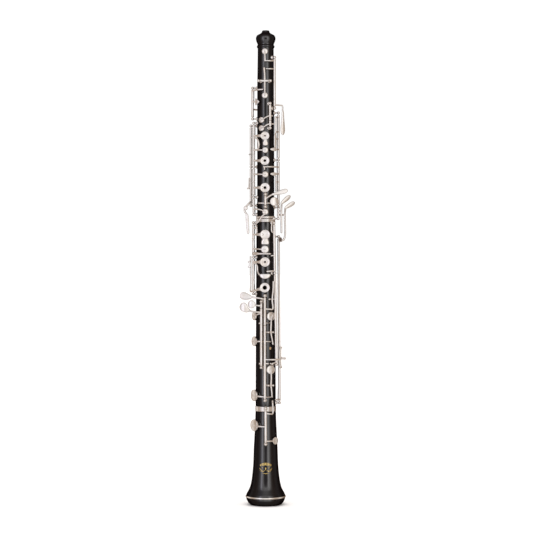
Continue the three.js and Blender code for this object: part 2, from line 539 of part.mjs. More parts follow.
      radius: 5.6, height: 2.4, lift: 1.6, bore: 3.9 }] },
  c_sharp_touch: { rod: 'low_c_axle', tube: [2.5, 7.98],
    arms: [bend(1.1667, [-5.49, -16.2, 249.57], [-10.35, -17.2, 249.97], [-15.09, -17.2, 250.97])],
    plates: [
      plate(1.3, [-17.58, -16.9, 251.47], [-0.2, -0.9798, 0], Z_AXIS, oval(5.1, 4.9, 16)),
    ] },
  low_c_key: { rod: 'low_c_axle', tube: [8.73, 79.84],
    arms: [
      bend(1.1875, [-5.49, -16.2, 241.59], [-12.1, -17.4, 241.85], [-18.95, -16.6, 242.97],
        [-24.08, -15.9, 244.72]),
      bend(1.024, [-5.49, -16.2, 239.84], [-8.7, -15.19, 239.32], [-11.56, -13.36, 238.16],
        [-13.75, -10.77, 237], [-15.17, -7.73, 236.47]),
      bend(1.024, [-5.49, -16.2, 205.16], [-8.65, -15.27, 205.13], [-11.49, -13.52, 205.06],
        [-13.7, -11.02, 205], [-15.17, -8.07, 204.97]),
      taper(1.1, 1.3, [-5.49, -16.2, 227.87], [-7.54, -15.12, 227.72]),
      taper(1.1, 1.3, [-5.49, -16.2, 177.72], [-7.36, -15.43, 177.47]),
      bend(0.8, [-5.49, -16.2, 205.16], [-3.5, -15, 204.97], [1.62, -14.2, 204.84],
        [5.75, -12.6, 204.72]),
    ],
    cups: [
      { centre: [-13.3, -6.77, 236.47], normal: [-0.891, -0.454, 0],
        radius: 5.2, height: 2.8, lift: 2.2, bore: 3.3 },
      { centre: [-13.31, -7.08, 204.97], normal: [-0.883, -0.4695, 0],
        radius: 6.1, height: 2.8, lift: 2.2, bore: 3.7 },
    ],
    plates: [plate(1.3, [-26.84, -15.4, 247.47], [-0.2, -0.9798, 0], Z_AXIS, [
      [6.2, -1.4], [6.1, 1.4], [4.9, 2.7], [3, 3.7], [0.2, 5], [-2.3, 7.2], [-4, 8.2],
      [-5.6, 6], [-6.3, 2.4], [-5.4, -1.6], [-3.2, -4.6], [0, -6.3], [3.2, -5.2], [5.4, -3.2],
    ])] },
  e_flat_touch: { rod: 'low_b_axle', tube: [2.74, 36.63],
    arms: [
      bend(1.1875, [-1, -18.6, 257.6], [-5.86, -20.4, 258.72], [-12.09, -19, 259.72],
        [-18.83, -17.2, 260.72]),
      bend(1.08333, [-1, -18.6, 245.64], [4.11, -17.9, 245.47], [8.61, -16.4, 245.47],
        [8.11, -16.6, 256.72], [9.24, -16.4, 269.22], [9.49, -16.2, 279.72]),
      bend(0.7, [-1, -18.6, 228.2], [1.4, -15.7, 228.1], [3.9, -13, 228.1],
        [7.2, -11.8, 228.22]),
    ],
    plates: [plate(1.3, [-24.58, -16.2, 261.47], [-0.15, -0.9887, 0], [0.9707, -0.1472, -0.1901], [
      [7.6, 1.6], [5, 3], [0, 4.6], [-4.2, 4.8], [-7.2, 2.8], [-8, 0],
      [-7.2, -2.8], [-4.2, -4.8], [0, -4.4], [5, -2.6], [7.6, -1.6],
    ])] },
  low_b_key: { rod: 'low_b_axle', tube: [37.26, 127.97],
    arms: [
      bend(1.074, [-1, -18.6, 136.24], [-5.63, -17.8, 136.39], [-9.84, -15.72, 136.73],
        [-13.2, -12.52, 137.06], [-15.45, -8.57, 137.21]),
      bend(0.7, [-1, -18.6, 136.24], [1.6, -16.2, 135.59], [4.4, -14, 135.59],
        [8.4, -12.7, 135.46]),
      bend(1.025, [-1, -18.6, 182.84], [5.36, -19.8, 182.59], [12.84, -18.4, 182.59],
        [18.36, -14.4, 182.72]),
      taper(1.1, 0.9, [-1, -18.6, 177.86], [3.37, -17.8, 177.47]),
    ],
    cups: [{ centre: [-13.48, -7.47, 137.21], normal: [-0.8746, -0.4848, 0],
      radius: 7.2, height: 3, lift: 2.2, bore: 4.2 }] },
  bell_key: { rod: 'bell_axle', tube: [2.62, 41.98],
    arms: [
      bend(1.1, [0, -19.3, 98.92], [-4.58, -18.89, 99.08], [-8.89, -17.26, 99.44],
        [-12.53, -14.48, 99.8], [-15.24, -10.87, 99.96]),
      bend(1, [0.1, -19.38, 80.98], [5.07, -18.02, 80.91], [9.34, -15.45, 80.78],
        [12.63, -11.95, 80.71]),
      bend(1.075, [-0.09, -19.23, 115.61], [4.74, -18.9, 114.96], [8.61, -17, 115.21],
        [8.49, -17, 130.96]),
    ],
    cups: [
      { centre: [-13.41, -9.57, 99.96], normal: [-0.8141, -0.5807, 0],
        radius: 7.4, height: 3, lift: 2.4, bore: 4.4 },
      { centre: [11.21, -10.61, 80.71], normal: [0.7263, -0.6873, 0],
        radius: 4.6, height: 2.6, lift: 0.4, bore: 2.53 },
    ] },
};

function pointOnRod(rod, distance) {
  const start = vector(rod.start);
  const direction = vector(rod.end).sub(start).normalize();
  return start.addScaledVector(direction, distance).toArray();
}

function ball(centre, radius) {
  const matrix = new THREE.Matrix4().makeTranslation(...centre);
  return solid(new THREE.SphereGeometry(radius, 6, 4), matrix);
}

// A rod with a ball-headed post under each post station, standing square to the bore.
function postedRod(rod) {
  const parts = [bar(rod.start, rod.end, ROD_R, ROD_R, 6)];
  rod.posts.forEach((distance, i) => {
    const head = pointOnRod(rod, distance);
    const headRadius = Math.hypot(head[0], head[1]);
    const atRadius = (radius) => [
      head[0] / headRadius * radius,
      head[1] / headRadius * radius,
      head[2],
    ];
    const foot = atRadius(rod.feet[i] + GAP);
    parts.push(ball(head, rod.ball ?? BALL_R));
    parts.push(bar(foot, atRadius(headRadius - 0.6), POST_FOOT_R, POST_NECK_R, 6));
  });
  return union(parts);
}

function keySolid({ rod: rodName, tube, arms, cups = [], plates = [] }) {
  const tubeBar = (runout, radius) => {
    const start = pointOnRod(RODS[rodName], tube[0] - runout);
    const end = pointOnRod(RODS[rodName], tube[1] + runout);
    return bar(start, end, radius, radius, 7);
  };
  const whole = union([tubeBar(0, TUBE_R), ...arms, ...cups.map(cupSolid), ...plates]);
  const cuts = [tubeBar(TUBE_RUNOUT, TUBE_BORE_R)];
  for (const cup of cups) if (cup.hole) cuts.push(cupHole(cup));
  return cuts.reduce((key, cut) => key.subtract(cut), whole);
}

// Cuts one joint's tone holes, one under each pad, from the bore axis out past the seat.
function withToneHoles(wood, body) {
  let result = wood;
  for (const { rod, cups = [] } of Object.values(KEYS)) {
    if (RODS[rod].body !== body) continue;
    for (const { centre, normal, bore, lift = 0 } of cups) {
      const outerRadius = Math.hypot(centre[0], centre[1]) - lift - SEAT_DEPTH + 3;
      const outer = [normal[0] * outerRadius, normal[1] * outerRadius, centre[2]];
      result = result.subtract(bar([0, 0, centre[2]], outer, bore * 0.8, bore, 8));
    }
  }
  return result;
}

// ---- the three joints ----
// Outside of a tenon from shoulder to end, with its cork groove.
const tenonProfile = ({ shoulder, end, radius, grooveRadius }) => [
  [radius + 0.1, shoulder],
  [radius, shoulder - LAND_LENGTH],
  [grooveRadius, shoulder - LAND_LENGTH],
  [grooveRadius, end + LAND_LENGTH],
  [radius, end + LAND_LENGTH],
  [radius - 0.3, end],
];

function upperBody() {
  const wellRadius = LINER_R + GAP;
  const outer = [
    ...UPPER_PROFILE,
    [10.75, UPPER_RECESS_TOP],
    [UPPER_RECESS_R, UPPER_RECESS_TOP],
    [UPPER_RECESS_R, UPPER_BOTTOM],
    ...tenonProfile(UPPER_TENON),
  ];
  const inner = [
    [BORE_MIDDLE_R, UPPER_TENON.end],
    [BORE_TOP_R, REED_WELL_BOTTOM - 1],
    [wellRadius, REED_WELL_BOTTOM - 0.3],
    [wellRadius, LENGTH],
  ];
  return withToneHoles(turned(ringProfile(outer, inner)), 'upper_joint');
}

function lowerBody() {
  const { socketRadius, socketFloor } = UPPER_TENON;
  const outer = [
    [LOWER_RECESS_R, LOWER_TOP],
    [LOWER_RECESS_R, LOWER_RECESS_BOTTOM],
    ...LOWER_PROFILE,
    ...tenonProfile(LOWER_TENON),
  ];
  const inner = [
    [BORE_LOWER_R, LOWER_TENON.end],
    [BORE_MIDDLE_R, socketFloor],
    [socketRadius, socketFloor],
    [socketRadius, LOWER_TOP],
  ];
  return withToneHoles(turned(ringProfile(outer, inner)), 'lower_joint');
}

function bellBody() {
  const { socketRadius, socketFloor } = LOWER_TENON;
  const outer = [
    [BELL_RECESS_R, BELL_TOP],
    [BELL_RECESS_R, BELL_RECESS_BOTTOM],
    ...BELL_PROFILE,
    [RIM_RECESS_R, 12.3],
    [RIM_RECESS_R, 8.7],
    ...BELL_LIP,
    [BELL_MOUTH_R + 0.2, 0],
  ];
  const inner = [
    ...BELL_BORE,
    [BORE_LOWER_R + 0.2, socketFloor],
    [socketRadius, socketFloor],
    [socketRadius, BELL_TOP],
  ];
  return withToneHoles(turned(ringProfile(outer, inner)), 'bell');
}

// ---- bands, liner and corks ----
// A metal band with chamfered outer edges, over a recess in the wood.
function band(outerRadius, recessRadius, top, bottom) {
  const innerRadius = recessRadius + GAP;
  return turned(ringProfile(
    [
      [outerRadius - 0.25, top], [outerRadius, top - 0.5],
      [outerRadius, bottom + 0.5], [outerRadius - 0.25, bottom],
    ],
    [[innerRadius, bottom], [innerRadius, top]],
  ));
}

function rimRing() {
  const top = RIM_RING_Z + 1.55;
  const bottom = RIM_RING_Z - 1.4;
  return turned(ringProfile(
    [
      [24.75, top], [25.2, RIM_RING_Z + 0.7], [RIM_RING_R, RIM_RING_Z],
      [25.2, RIM_RING_Z - 0.7], [24.75, bottom],
    ],
    [[RIM_RECESS_R + GAP, bottom], [RIM_RECESS_R + GAP, top]],
  ), RIM_SIDES);
}

function reedWellLiner() {
  const top = LENGTH - 0.1;
  return turned(ringProfile(
    [[LINER_R, top], [LINER_R, REED_WELL_BOTTOM]],
    [[REED_WELL_R, REED_WELL_BOTTOM], [REED_WELL_R, top]],
  ), FINE_SIDES);
}

function tenonCork({ corkRadius, grooveRadius, shoulder, end }) {
  const innerRadius = grooveRadius + GAP;
  const top = shoulder - CORK_INSET;
  const bottom = end + CORK_INSET;
  return turned(ringProfile(
    [
      [corkRadius - 0.3, top], [corkRadius, top - 0.6],
      [corkRadius, bottom + 0.8], [corkRadius - 0.5, bottom],
    ],
    [[innerRadius, bottom], [innerRadius, top]],
  ), FINE_SIDES);
}

// A plate on the +Y side of the lower joint with a curved hook.
function thumbRest() {
  const restZ = 316;
  const restY = 11.95 + GAP;
  // plate: [z, x] from its middle
  const plateOutline = [
    [-9, -3.4], [9, -3.4], [11, -2], [11, 2], [9, 3.4], [-9, 3.4], [-11, 2], [-11, -2],
  ];
  // hook: [y, z] from its root
  const hookOutline = [
    [0, 0], [0, 1.6], [5, 2], [10, 3.6], [13.2, 7.2], [14.4, 6.4], [11.2, 2], [6, 0.1],
  ];
  const hookWidth = 9;
  const hookRoot = [-hookWidth / 2, restY + 0.8, restZ - 8.5];
  return extruded(plateOutline, 1.6, frame([0, restY, restZ], [0, 1, 0], Z_AXIS))
    .add(extruded(hookOutline, hookWidth, frame(hookRoot, [1, 0, 0], [0, 1, 0])));
}

// ---- finishes ----
const FINISHES = {
  wood: { color: 0x1d1a1b, roughness: 0.34, metalness: 0 },
  silver: { color: 0xdedad6, roughness: 0.16, metalness: 1 },
  steel: { color: 0xb9b4ae, roughness: 0.28, metalness: 1 },
  cork: { color: 0xb58a5c, roughness: 0.9, metalness: 0 },
  brass: { color: 0xb8925a, roughness: 0.3, metalness: 1 },
};

// ---- assembly ----
const group = new THREE.Group();
const sections = {
  bell: new THREE.Group(),
  lower_joint: new THREE.Group(),
  upper_joint: new THREE.Group(),
};
group.add(...Object.values(sections));

function geometryOf(piece) {
  const { vertProperties, triVerts } = piece.getMesh();
  const geometry = new THREE.BufferGeometry();
  const positions = new THREE.BufferAttribute(new Float32Array(vertProperties), 3);
  geometry.setAttribute('position', positions);
  geometry.setIndex(new THREE.BufferAttribute(new Uint32Array(triVerts), 1));
  geometry.computeVertexNormals();
  return geometry;
}

function addPiece(section, name, piece, finish) {
  const material = new THREE.MeshStandardMaterial(FINISHES[finish]);
  const mesh = new THREE.Mesh(geometryOf(piece), material);
  mesh.name = name;
  sections[section].add(mesh);
}

const upperRing = band(11.95, UPPER_RECESS_R, UPPER_RECESS_TOP - GAP, UPPER_BOTTOM + 0.05);
const lowerRing = band(12.1, LOWER_RECESS_R, LOWER_TOP - 0.05, 354.2);
const bellRing = band(13.1, BELL_RECESS_R, BELL_TOP - 0.05, BELL_RECESS_BOTTOM + GAP);

addPiece('bell', 'bell_body', bellBody(), 'wood');
addPiece('bell', 'bell_socket_ring', bellRing, 'silver');
addPiece('bell', 'bell_rim_ring', rimRing(), 'silver');
addPiece('lower_joint', 'lower_joint_body', lowerBody(), 'wood');
addPiece('lower_joint', 'lower_socket_ring', lowerRing, 'silver');
addPiece('lower_joint', 'lower_tenon_cork', tenonCork(LOWER_TENON), 'cork');
addPiece('lower_joint', 'thumb_rest', thumbRest(), 'silver');
addPiece('upper_joint', 'upper_joint_body', upperBody(), 'wood');
addPiece('upper_joint', 'upper_tenon_ring', upperRing, 'silver');
addPiece('upper_joint', 'upper_tenon_cork', tenonCork(UPPER_TENON), 'cork');
addPiece('upper_joint', 'reed_well_liner', reedWellLiner(), 'brass');
for (const [name, rod] of Object.entries(RODS)) {
  addPiece(rod.body, name, postedRod(rod), 'steel');
}
for (const [name, key] of Object.entries(KEYS)) {
  addPiece(RODS[key.rod].body, name, keySolid(key), 'silver');
}

export default group;
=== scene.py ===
# An oboe without its reed, standing upright on its bell. The bore runs up the Z axis from the bell
# (z = 0) to the top of the upper joint (z = 595). Most keys face -Y, towards the camera, and the
# thumb rest is at +Y. Shapes are written in millimetres; piece() scales them to metres.
import math
from collections import namedtuple

import bpy
import bmesh
from mathutils import Matrix, Vector


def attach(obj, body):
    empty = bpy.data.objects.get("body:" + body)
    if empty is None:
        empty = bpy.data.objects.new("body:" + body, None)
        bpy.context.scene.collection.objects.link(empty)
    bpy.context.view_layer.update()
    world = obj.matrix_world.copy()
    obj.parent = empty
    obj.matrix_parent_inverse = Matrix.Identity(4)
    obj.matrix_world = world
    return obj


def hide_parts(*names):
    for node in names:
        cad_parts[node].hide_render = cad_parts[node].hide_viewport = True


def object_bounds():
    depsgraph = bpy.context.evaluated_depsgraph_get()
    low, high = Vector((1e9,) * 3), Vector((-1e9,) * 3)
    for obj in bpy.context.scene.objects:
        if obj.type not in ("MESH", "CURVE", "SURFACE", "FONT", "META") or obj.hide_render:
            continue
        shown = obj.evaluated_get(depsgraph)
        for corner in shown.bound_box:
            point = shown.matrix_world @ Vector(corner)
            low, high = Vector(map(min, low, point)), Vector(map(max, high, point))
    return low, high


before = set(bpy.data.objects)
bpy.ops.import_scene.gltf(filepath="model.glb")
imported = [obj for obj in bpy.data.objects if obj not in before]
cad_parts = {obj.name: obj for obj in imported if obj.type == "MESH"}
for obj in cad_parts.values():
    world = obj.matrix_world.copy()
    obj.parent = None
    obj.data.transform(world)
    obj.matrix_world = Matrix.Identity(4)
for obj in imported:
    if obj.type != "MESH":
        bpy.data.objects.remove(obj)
CAD_BOX = [[float(v) for v in corner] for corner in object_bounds()]
MM = 0.001
SCENE = bpy.context.scene
UP = (0, 0, 1)
UPPER, LOWER, BELL = "upper_joint", "lower_joint", "bell"


# ---- keywork layout -----------------------------------------------------------------------------
BALL_RADIUS = 1.9
# posts: (distance from start, radius from the bore's axis at which the post's foot stands)
Axle = namedtuple("Axle", "body start end posts ball", defaults=[BALL_RADIUS])
# tube: distances of its ends along the axle
Key = namedtuple("Key", "axle tube arms cups plates", defaults=[(), ()])
# centre: middle of the open underside; normal: x and y, pointing away from the joint;
# bore: radius of the tone hole; gap: how far the cup stands off its seat; hole: finger hole radius
Cup = namedtuple("Cup", "centre normal radius height bore gap hole dished",
                 defaults=[0, 0, False])
# along: direction of the outline's first axis
Plate = namedtuple("Plate", "centre normal outline height along", defaults=[UP])


def dished(centre, normal, radius, bore, hole=0):
    """A finger cup with a hollow top."""
    return Cup(centre, normal, radius, 2.2, bore, 2, hole, True)


def mirrored(half):
    """A closed outline from its half with positive second values."""
    return half + [(x, -y) for x, y in reversed(half) if y]


def ellipse(a, b, count):
    turns = [2 * math.pi * i / count for i in range(count)]
    return [(round(a * math.cos(t), 2), round(b * math.sin(t), 2)) for t in turns]


def trill_touch(tip):
    return [(tip,0.6), (2.5,2.2), (-1,2.3), (-4.4,1.2), (-5.2,0), (-4.4,-1.2), (-1,-2), (2.5,-1.8),
            (tip,-0.6)]


AXLES = {
    "side_octave_axle": Axle(UPPER, (11.14,-9.6,560.3), (11.14,-9.6,496.59),
        [(0,10.19), (63.7,10.67)]),
    "octave_lever_axle": Axle(UPPER, (-8.87,-13.9,530.49), (5.87,-13.9,530.49),
        [(0,10.6), (14.75,10.6)]),
    "thumb_octave_axle": Axle(UPPER, (-16.46,-1.2,522.66), (-16.46,-1.2,483.96),
        [(0,10.65), (38.71,10.68)]),
    "trill_axle": Axle(UPPER, (5.5,-13.9,502.3), (5.5,-13.9,471.58), [(0,10.67), (30.72,10.69)]),
    "left_hand_trill_axle": Axle(UPPER, (15.94,-4,491.24), (15.94,-4,372.64),
        [(0,10.67), (58.98,10.71), (118.59,10.98)]),
    "upper_stack_axle": Axle(UPPER, (-14.93,-4.4,478.4), (-14.93,-4.4,363.72),
        [(0,10.68), (92.85,10.74), (114.68,11.62)]),
    "right_trill_axle": Axle(UPPER, (-18.49,1.2,475.37), (-18.49,1.2,375.22),
        [(0,10.68), (51.58,10.72), (100.15,10.8)]),
    "g_sharp_touch_axle": Axle(UPPER, (-0.26,-15,388.73), (-0.26,-15,373.23),
        [(0,10.74), (15.5,10.94)]),
    "left_little_finger_axle": Axle(UPPER, (15.64,-9.6,376.07), (15.64,-9.6,358.55),
        [(0,10.75), (17.52,11.98)]),
    "lower_stack_axle": Axle(LOWER, (-15.43,-5,353.67), (-15.43,-5,264.36),
        [(0,11.75), (43.4,11.8), (89.31,12.03)]),
    "right_stack_axle": Axle(LOWER, (10.37,-12.4,352.97), (13.36,-14.4,176.11),
        [(0,11.72), (62.71,11.9), (176.89,12.47)]),
    "low_b_flat_axle": Axle(LOWER, (16.18,-4.6,336.11), (17.19,-4.6,127.85),
        [(0,11.67), (208.27,12.78)]),
    "e_flat_cup_axle": Axle(LOWER, (3.18,-15.68,216.47), (9.07,-13.18,216.47),
        [(0,12.27), (6.4,12.27)], ball=1.5),
    "c_sharp_cup_axle": Axle(LOWER, (3.33,-16.78,150.09), (9.26,-14.38,150.09),
        [(0,12.6), (6.4,12.6)], ball=1.5),
    "low_c_axle": Axle(LOWER, (-5.49,-16.2,254.81), (-5.49,-16.2,172.48),
        [(0,12.08), (82.34,12.49)]),
    "low_b_axle": Axle(LOWER, (-1,-18.6,262.09), (-1,-18.6,131.5), [(0,12.04), (130.59,12.7)]),
    "bell_axle": Axle(BELL, (-0.12,-19.2,121.59), (0.12,-19.4,77.01),
        [(0,12.9), (44.58,14.69)]),
}

# Each arm is a list of stations (x, y, z, radius). An arm whose stations give no radius is a flat
# teardrop widening on to its cup.
KEYS = {
    "side_octave_key": Key("side_octave_axle", (2.5, 61.08), [
        [(11.14,-9.6,555.79,1), (7.54,-12.22,555.71,0.98), (3.42,-13.58,555.57,0.97),
         (-0.81,-13.64,555.49,0.95)],
        [(-0.81,-13.64,555.49,1), (-1.11,-12.32,567.62,0.85)],
        [(11.14,-9.6,545.78,0.95), (7.94,-11.94,545.71,0.9), (4.32,-13.28,545.57,0.85),
         (0.57,-13.58,545.49,0.8)],
        [(11.14,-9.6,500.72,1), (17.3,-7.5,500.49,0.95), (20.82,-6.2,499.99,0.95),
         (21.2,-6,494.24,0.95)],
    ], [Cup((-0.95,-10.6,567.62), (-0.0896,-0.996), 3.75, 2.3, 0.7)],
        [Plate((21.32,-6.3,479.24), (0.3499,-0.9368), mirrored([
            (16.5,0), (14,1.4), (7,1.7), (-4,2.7), (-11,3.1), (-15,1.8), (-16.3,0)]), 1.1)]),
    "octave_lever": Key("octave_lever_axle", (2.2, 12.4), [
        [(-1.88,-14.1,546.37,1.25), (-1.25,-14.4,537.99,0.95), (-1.13,-14.2,530.49,1.1),
         (-1.13,-14.3,521.74,1), (-1.11,-12.89,512.49,0.9)],
    ], [Cup((-0.96,-11.17,512.49), (-0.0857,-0.9963), 3.75, 2.3, 0.7)]),
    "thumb_octave_key": Key("thumb_octave_axle", (2.39, 36.32), [
        [(-16.46,-1.2,519.15,1.1), (-13.97,-7.31,519.3,1.03), (-9.45,-11.69,519.59,0.97),
         (-3.82,-13.78,519.74,0.9)],
        [(-16.46,-1.2,505.82,1), (-12.65,-7.6,504.74,0.9), (-10.64,-9.6,504.74,0.8)],
        [(-16.46,-1.2,497.78,1.1), (-15.6,6.5,496.74,1.1), (-11.5,12.2,496.74,1.1),
         (-5,14.6,496.74,1.1)],
    ], [], [
        Plate((-10.64,-9.2,504.74), (-0.6198,-0.7848),
              [(5,-2.2), (1,3), (0,3.6), (-1,3), (-5,-2.2), (-3,-3), (3,-3)], 1),
        Plate((-1.5,14.3,496.74), (0,1), ellipse(10.5, 5.2, 14), 1.4)]),
    "upper_trill_key": Key("trill_axle", (2.37, 21.48), [
        [(5.5,-13.9,486.81,1), (2.47,-14.24,486.04,0.96), (-0.46,-13.94,484.34,0.93),
         (-3.16,-13.08,482.64,0.89), (-5.54,-11.71,481.86,0.85)],
        [(5.5,-13.9,486.56,1), (8.17,-12.58,486.74,0.9)],
    ], [Cup((-4.8,-10.15,481.86), (-0.4278,-0.9039), 3.7, 2.3, 1.6)]),
    "lower_trill_key": Key("trill_axle", (21.98, 28.23), [
        [(5.5,-13.9,476.82,1), (2.47,-14.24,475.99,0.96), (-0.46,-13.95,474.15,0.93),
         (-3.16,-13.08,472.32,0.89), (-5.54,-11.72,471.49,0.85)],
        [(5.5,-13.9,476.57,1), (7.77,-13.04,476.65,0.95), (9.9,-11.8,476.74,0.9)],
    ], [Cup((-4.8,-10.16,471.49), (-0.4276,-0.904), 3.7, 2.3, 1.6)]),
    "left_trill_key": Key("left_hand_trill_axle", (2.76, 56.47), [
        [(15.94,-4,485.59,1.1), (12.41,-10.41,485.49,0.9)],
        [(12.41,-10.41,485.49,1.25), (12.35,-10.18,464.24,1.25)],
        [(12.35,-10.18,466.74,1), (15.94,-4,467.39,1.2)],
        [(15.94,-4,458.61,1.1), (12.39,-9.2,457.99,1)],
        [(15.94,-4,445.56,1.1), (13.64,-10.6,444.98,1), (11.88,-12.2,444.98,0.9)],
    ], [], [
        Plate((12.01,-10.2,456.24), (0.722,-0.6919),
              [(9.6,-1.4), (8.6,1.9), (-8.8,1.9), (-9.6,0), (-8.8,-2.6), (6,-2.6)], 1.1),
        Plate((10.13,-12.6,444.98), (0.3998,-0.9166), trill_touch(4.6), 1.1, (0.9166,0.3998,0))]),
    "a_flat_trill_key": Key("left_hand_trill_axle", (61.49, 115.96), [
        [(15.94,-4,414.68,1.1), (13.64,-10.6,414.23,1), (11.88,-12.2,414.23,0.9)],
        [(15.94,-4,423.22,1.15), (13.14,-9.35,423.18,1.1), (8.66,-13.23,423.1,1.05),
         (3.19,-15.18,423.02,1), (-2.51,-14.99,422.98,0.95)],
        [(-1.67,-15.11,422.98,0.9), (-1.48,-15.13,419.73,0.8)],
        [(12.77,-9.8,410.98,1.2), (12.77,-9.8,393.48,1.2)],
        [(15.94,-4,404.64,1.1), (12.77,-9.8,404.23,1.1)],
    ], [], [
        Plate((10.25,-12.6,414.23), (0.3998,-0.9166), trill_touch(4.4), 1.1, (0.9166,0.3998,0))]),
    "half_hole_key": Key("upper_stack_axle", (2.51, 39.65), [
        [(-14.93,-4.4,462.34), (-13.21,-7.76,462.25), (-10.76,-10.56,462.04),
         (-7.76,-12.65,461.83), (-4.39,-13.92,461.74)],
        [(-14.93,-4.4,444.52,1.05), (-12.75,-8.67,444.44,1.01), (-9.4,-12.04,444.25,0.98),
         (-5.21,-14.2,444.07,0.94), (-0.62,-14.97,443.98,0.9)],
        [(-11.12,-10.37,459.24,0.9), (-9.39,-12.46,455.49,1.4), (-8.5,-13.08,450.49,1.4),
         (-9.75,-12.05,445.23,0.9)],
        [(-14.93,-4.4,459.83,0.8), (-11.12,-10.37,459.24,0.8)],
    ], [dished((-0.76,-13.22,461.74), (-0.0577,-0.9983), 5.4, 1.6, 0.85),
        Cup((-0.55,-13.24,443.98), (-0.0412,-0.9991), 3.75, 2.3, 1.8, 2)],
        [Plate((-0.38,-13.69,453.04), (-0.0279,-0.9996), mirrored([
            (5,1.7), (1.5,2.4), (0,3.3), (-2.4,3), (-3.4,1.6), (-3.7,0)]), 1.3)]),
    "b_ring_key": Key("upper_stack_axle", (40.28, 56.46), [
        [(-14.93,-4.4,431.22), (-13.26,-7.69,431.15), (-10.89,-10.45,430.98),
         (-7.97,-12.53,430.81), (-4.7,-13.84,430.73)],
    ], [dished((-0.87,-13.23,430.73), (-0.0659,-0.9978), 5.7, 1.9, 1.5)]),
    "c_vent_key": Key("upper_stack_axle", (57.09, 73.28), [
        [(-14.93,-4.4,414.16,1.05), (-12.74,-8.7,414.07,1.01), (-9.35,-12.09,413.88,0.98),
         (-5.13,-14.25,413.69,0.94), (-0.49,-14.99,413.61,0.9)],
    ], [Cup((-0.44,-13.27,413.61), (-0.0329,-0.9995), 3.9, 2.3, 2, 2)]),
    "a_ring_key": Key("upper_stack_axle", (73.9, 90.34), [
        [(-14.93,-4.4,397.35), (-13.27,-7.68,397.29), (-10.92,-10.43,397.16),
         (-8.04,-12.51,397.04), (-4.79,-13.83,396.98)],
    ], [dished((-0.76,-13.26,396.98), (-0.0575,-0.9983), 6, 2.1, 1.65)]),
    "g_sharp_key": Key("upper_stack_axle", (95.48, 112.17), [
        [(-14.93,-4.4,370.5,1.1), (-12.47,-8.5,370.44,1.05), (-8.96,-11.54,370.06,1),
         (-4.82,-13.29,369.01,0.95), (-0.49,-13.65,366.98,0.9)],
        [(-0.55,-14.19,364.73,0.95), (-4.75,-14.51,361.1,0.92), (-9.15,-13.53,354.36,0.88),
         (-13.33,-11.18,350.73,0.85)],
    ], [Cup((-0.43,-11.93,366.98), (-0.0361,-0.9993), 3.8, 2.3, 2.4)]),
    "right_trill_lever": Key("right_trill_axle", (54.35, 97.63), [
        [(-18.49,1.2,380.38,1.3), (-21.49,-1.6,377.23,1.3), (-25.26,-1.8,372.73,1.2),
         (-26.52,-1.8,368.73,1.2), (-24.38,-1.8,364.73,1.1)],
        [(-18.49,1.2,397.36,1.1), (-22.76,-0.4,396.61,1)],
        [(-20.62,-0.4,409.23,0.9), (-21,-0.4,396.61,1)],
        [(-18.49,1.2,408.69,0.9), (-20.62,-0.4,407.98,0.9)],
    ], [], [
        Plate((-22.75,-2.2,352.48), (-0.2,-0.9798), mirrored([
            (12.6,1), (10,2), (-6,1.75), (-12,1.5), (-13.6,0)]), 1.1, (-0.0649,0.0133,0.9978)),
        Plate((-25.14,-2.9,371.98), (-0.2,-0.9798), ellipse(2.8, 2.6, 10), 1.2)]),
    "b_flat_trill_lever": Key("right_trill_axle", (2.52, 48.94), [
        [(-18.49,1.2,440.14,1), (-20.75,-0.8,439.23,0.9)],
        [(-18.49,1.2,461.53,1), (-17.71,-1.2,460.49,0.9)],
    ]),
    "g_sharp_touch": Key("g_sharp_touch_axle", (2.38, 13.24), [
        [(-0.26,-15,382.61,1.1), (3.24,-16.4,385.48,1.1), (7.24,-16.4,387.86,1.1)],
        [(-0.26,-15,377.61,1.05), (-4.74,-14.18,377.67,1), (-8.76,-12.05,377.73,0.95)],
        # this foot bends close to the wood to pass under the left E flat touch
        [(-0.26,-15,377.61,1.05), (3.62,-14.22,377.67,0.86), (7.22,-13.03,377.73,0.8)],
    ], [], [
        Plate((16.85,-15.9,390.73), (0.06,-0.9982), mirrored([
            (-10.2,1.2), (-4,1.9), (3,2.9), (8,2.9), (10.6,1.6), (11.2,0)]),
            1.1, (0.9617,0.0578,0.2679))]),
    "left_e_flat_touch": Key("left_little_finger_axle", (2.38, 5.76), [
        [(15.64,-9.6,371.94,1.2), (14.87,-13,374.23,1.1), (12.36,-15.3,378.23,1)],
    ], [], [Plate((10.61,-15,379.73), (0.2501,-0.9682), ellipse(5.6, 5.4, 16), 1.2)]),
    "left_b_touch": Key("left_little_finger_axle", (6.26, 10.01), [
        [(19.91,-13.1,377.48,1.2), (19.66,-10.6,371.73,1.15), (19.53,-9.2,364.23,1.15),
         (19.66,-9,341.23,1.15)],
        [(15.64,-9.6,367.94,1.2), (19.53,-10,367.85,1.1)],
    ], [], [
        Plate((24.86,-11.2,382.23), (0.3,-0.9539), mirrored([
            (-8.2,1.3), (-3,2.4), (3,2.9), (6.6,2.2), (8.4,0)]), 1.2, (0.7304,0.2297,0.6432))]),
    "left_b_flat_touch": Key("left_little_finger_axle", (10.51, 15.02), [
        [(24.67,-11.4,371.98,1.25), (23.92,-8.2,364.23,1.15), (24.05,-7.6,336.73,1.15),
         (22.42,-8.2,332.23,1.3), (19.16,-8.6,331.23,1.3)],
        [(15.64,-9.6,363.3,1.1), (18.44,-6,363.23,1), (23.95,-6.9,363.23,1.1)],
    ], [], [
        Plate((29.91,-9.6,375.23), (0.3,-0.9539), mirrored([
            (-7.6,1.3), (-3,2.3), (3,2.8), (6.4,2.1), (8,0)]), 1.2, (0.8204,0.258,0.5102))]),
    "f_sharp_plate_key": Key("lower_stack_axle", (2.51, 21.32), [
        [(-15.43,-5,338.61), (-13.72,-8.34,338.59), (-11.31,-11.16,338.55),
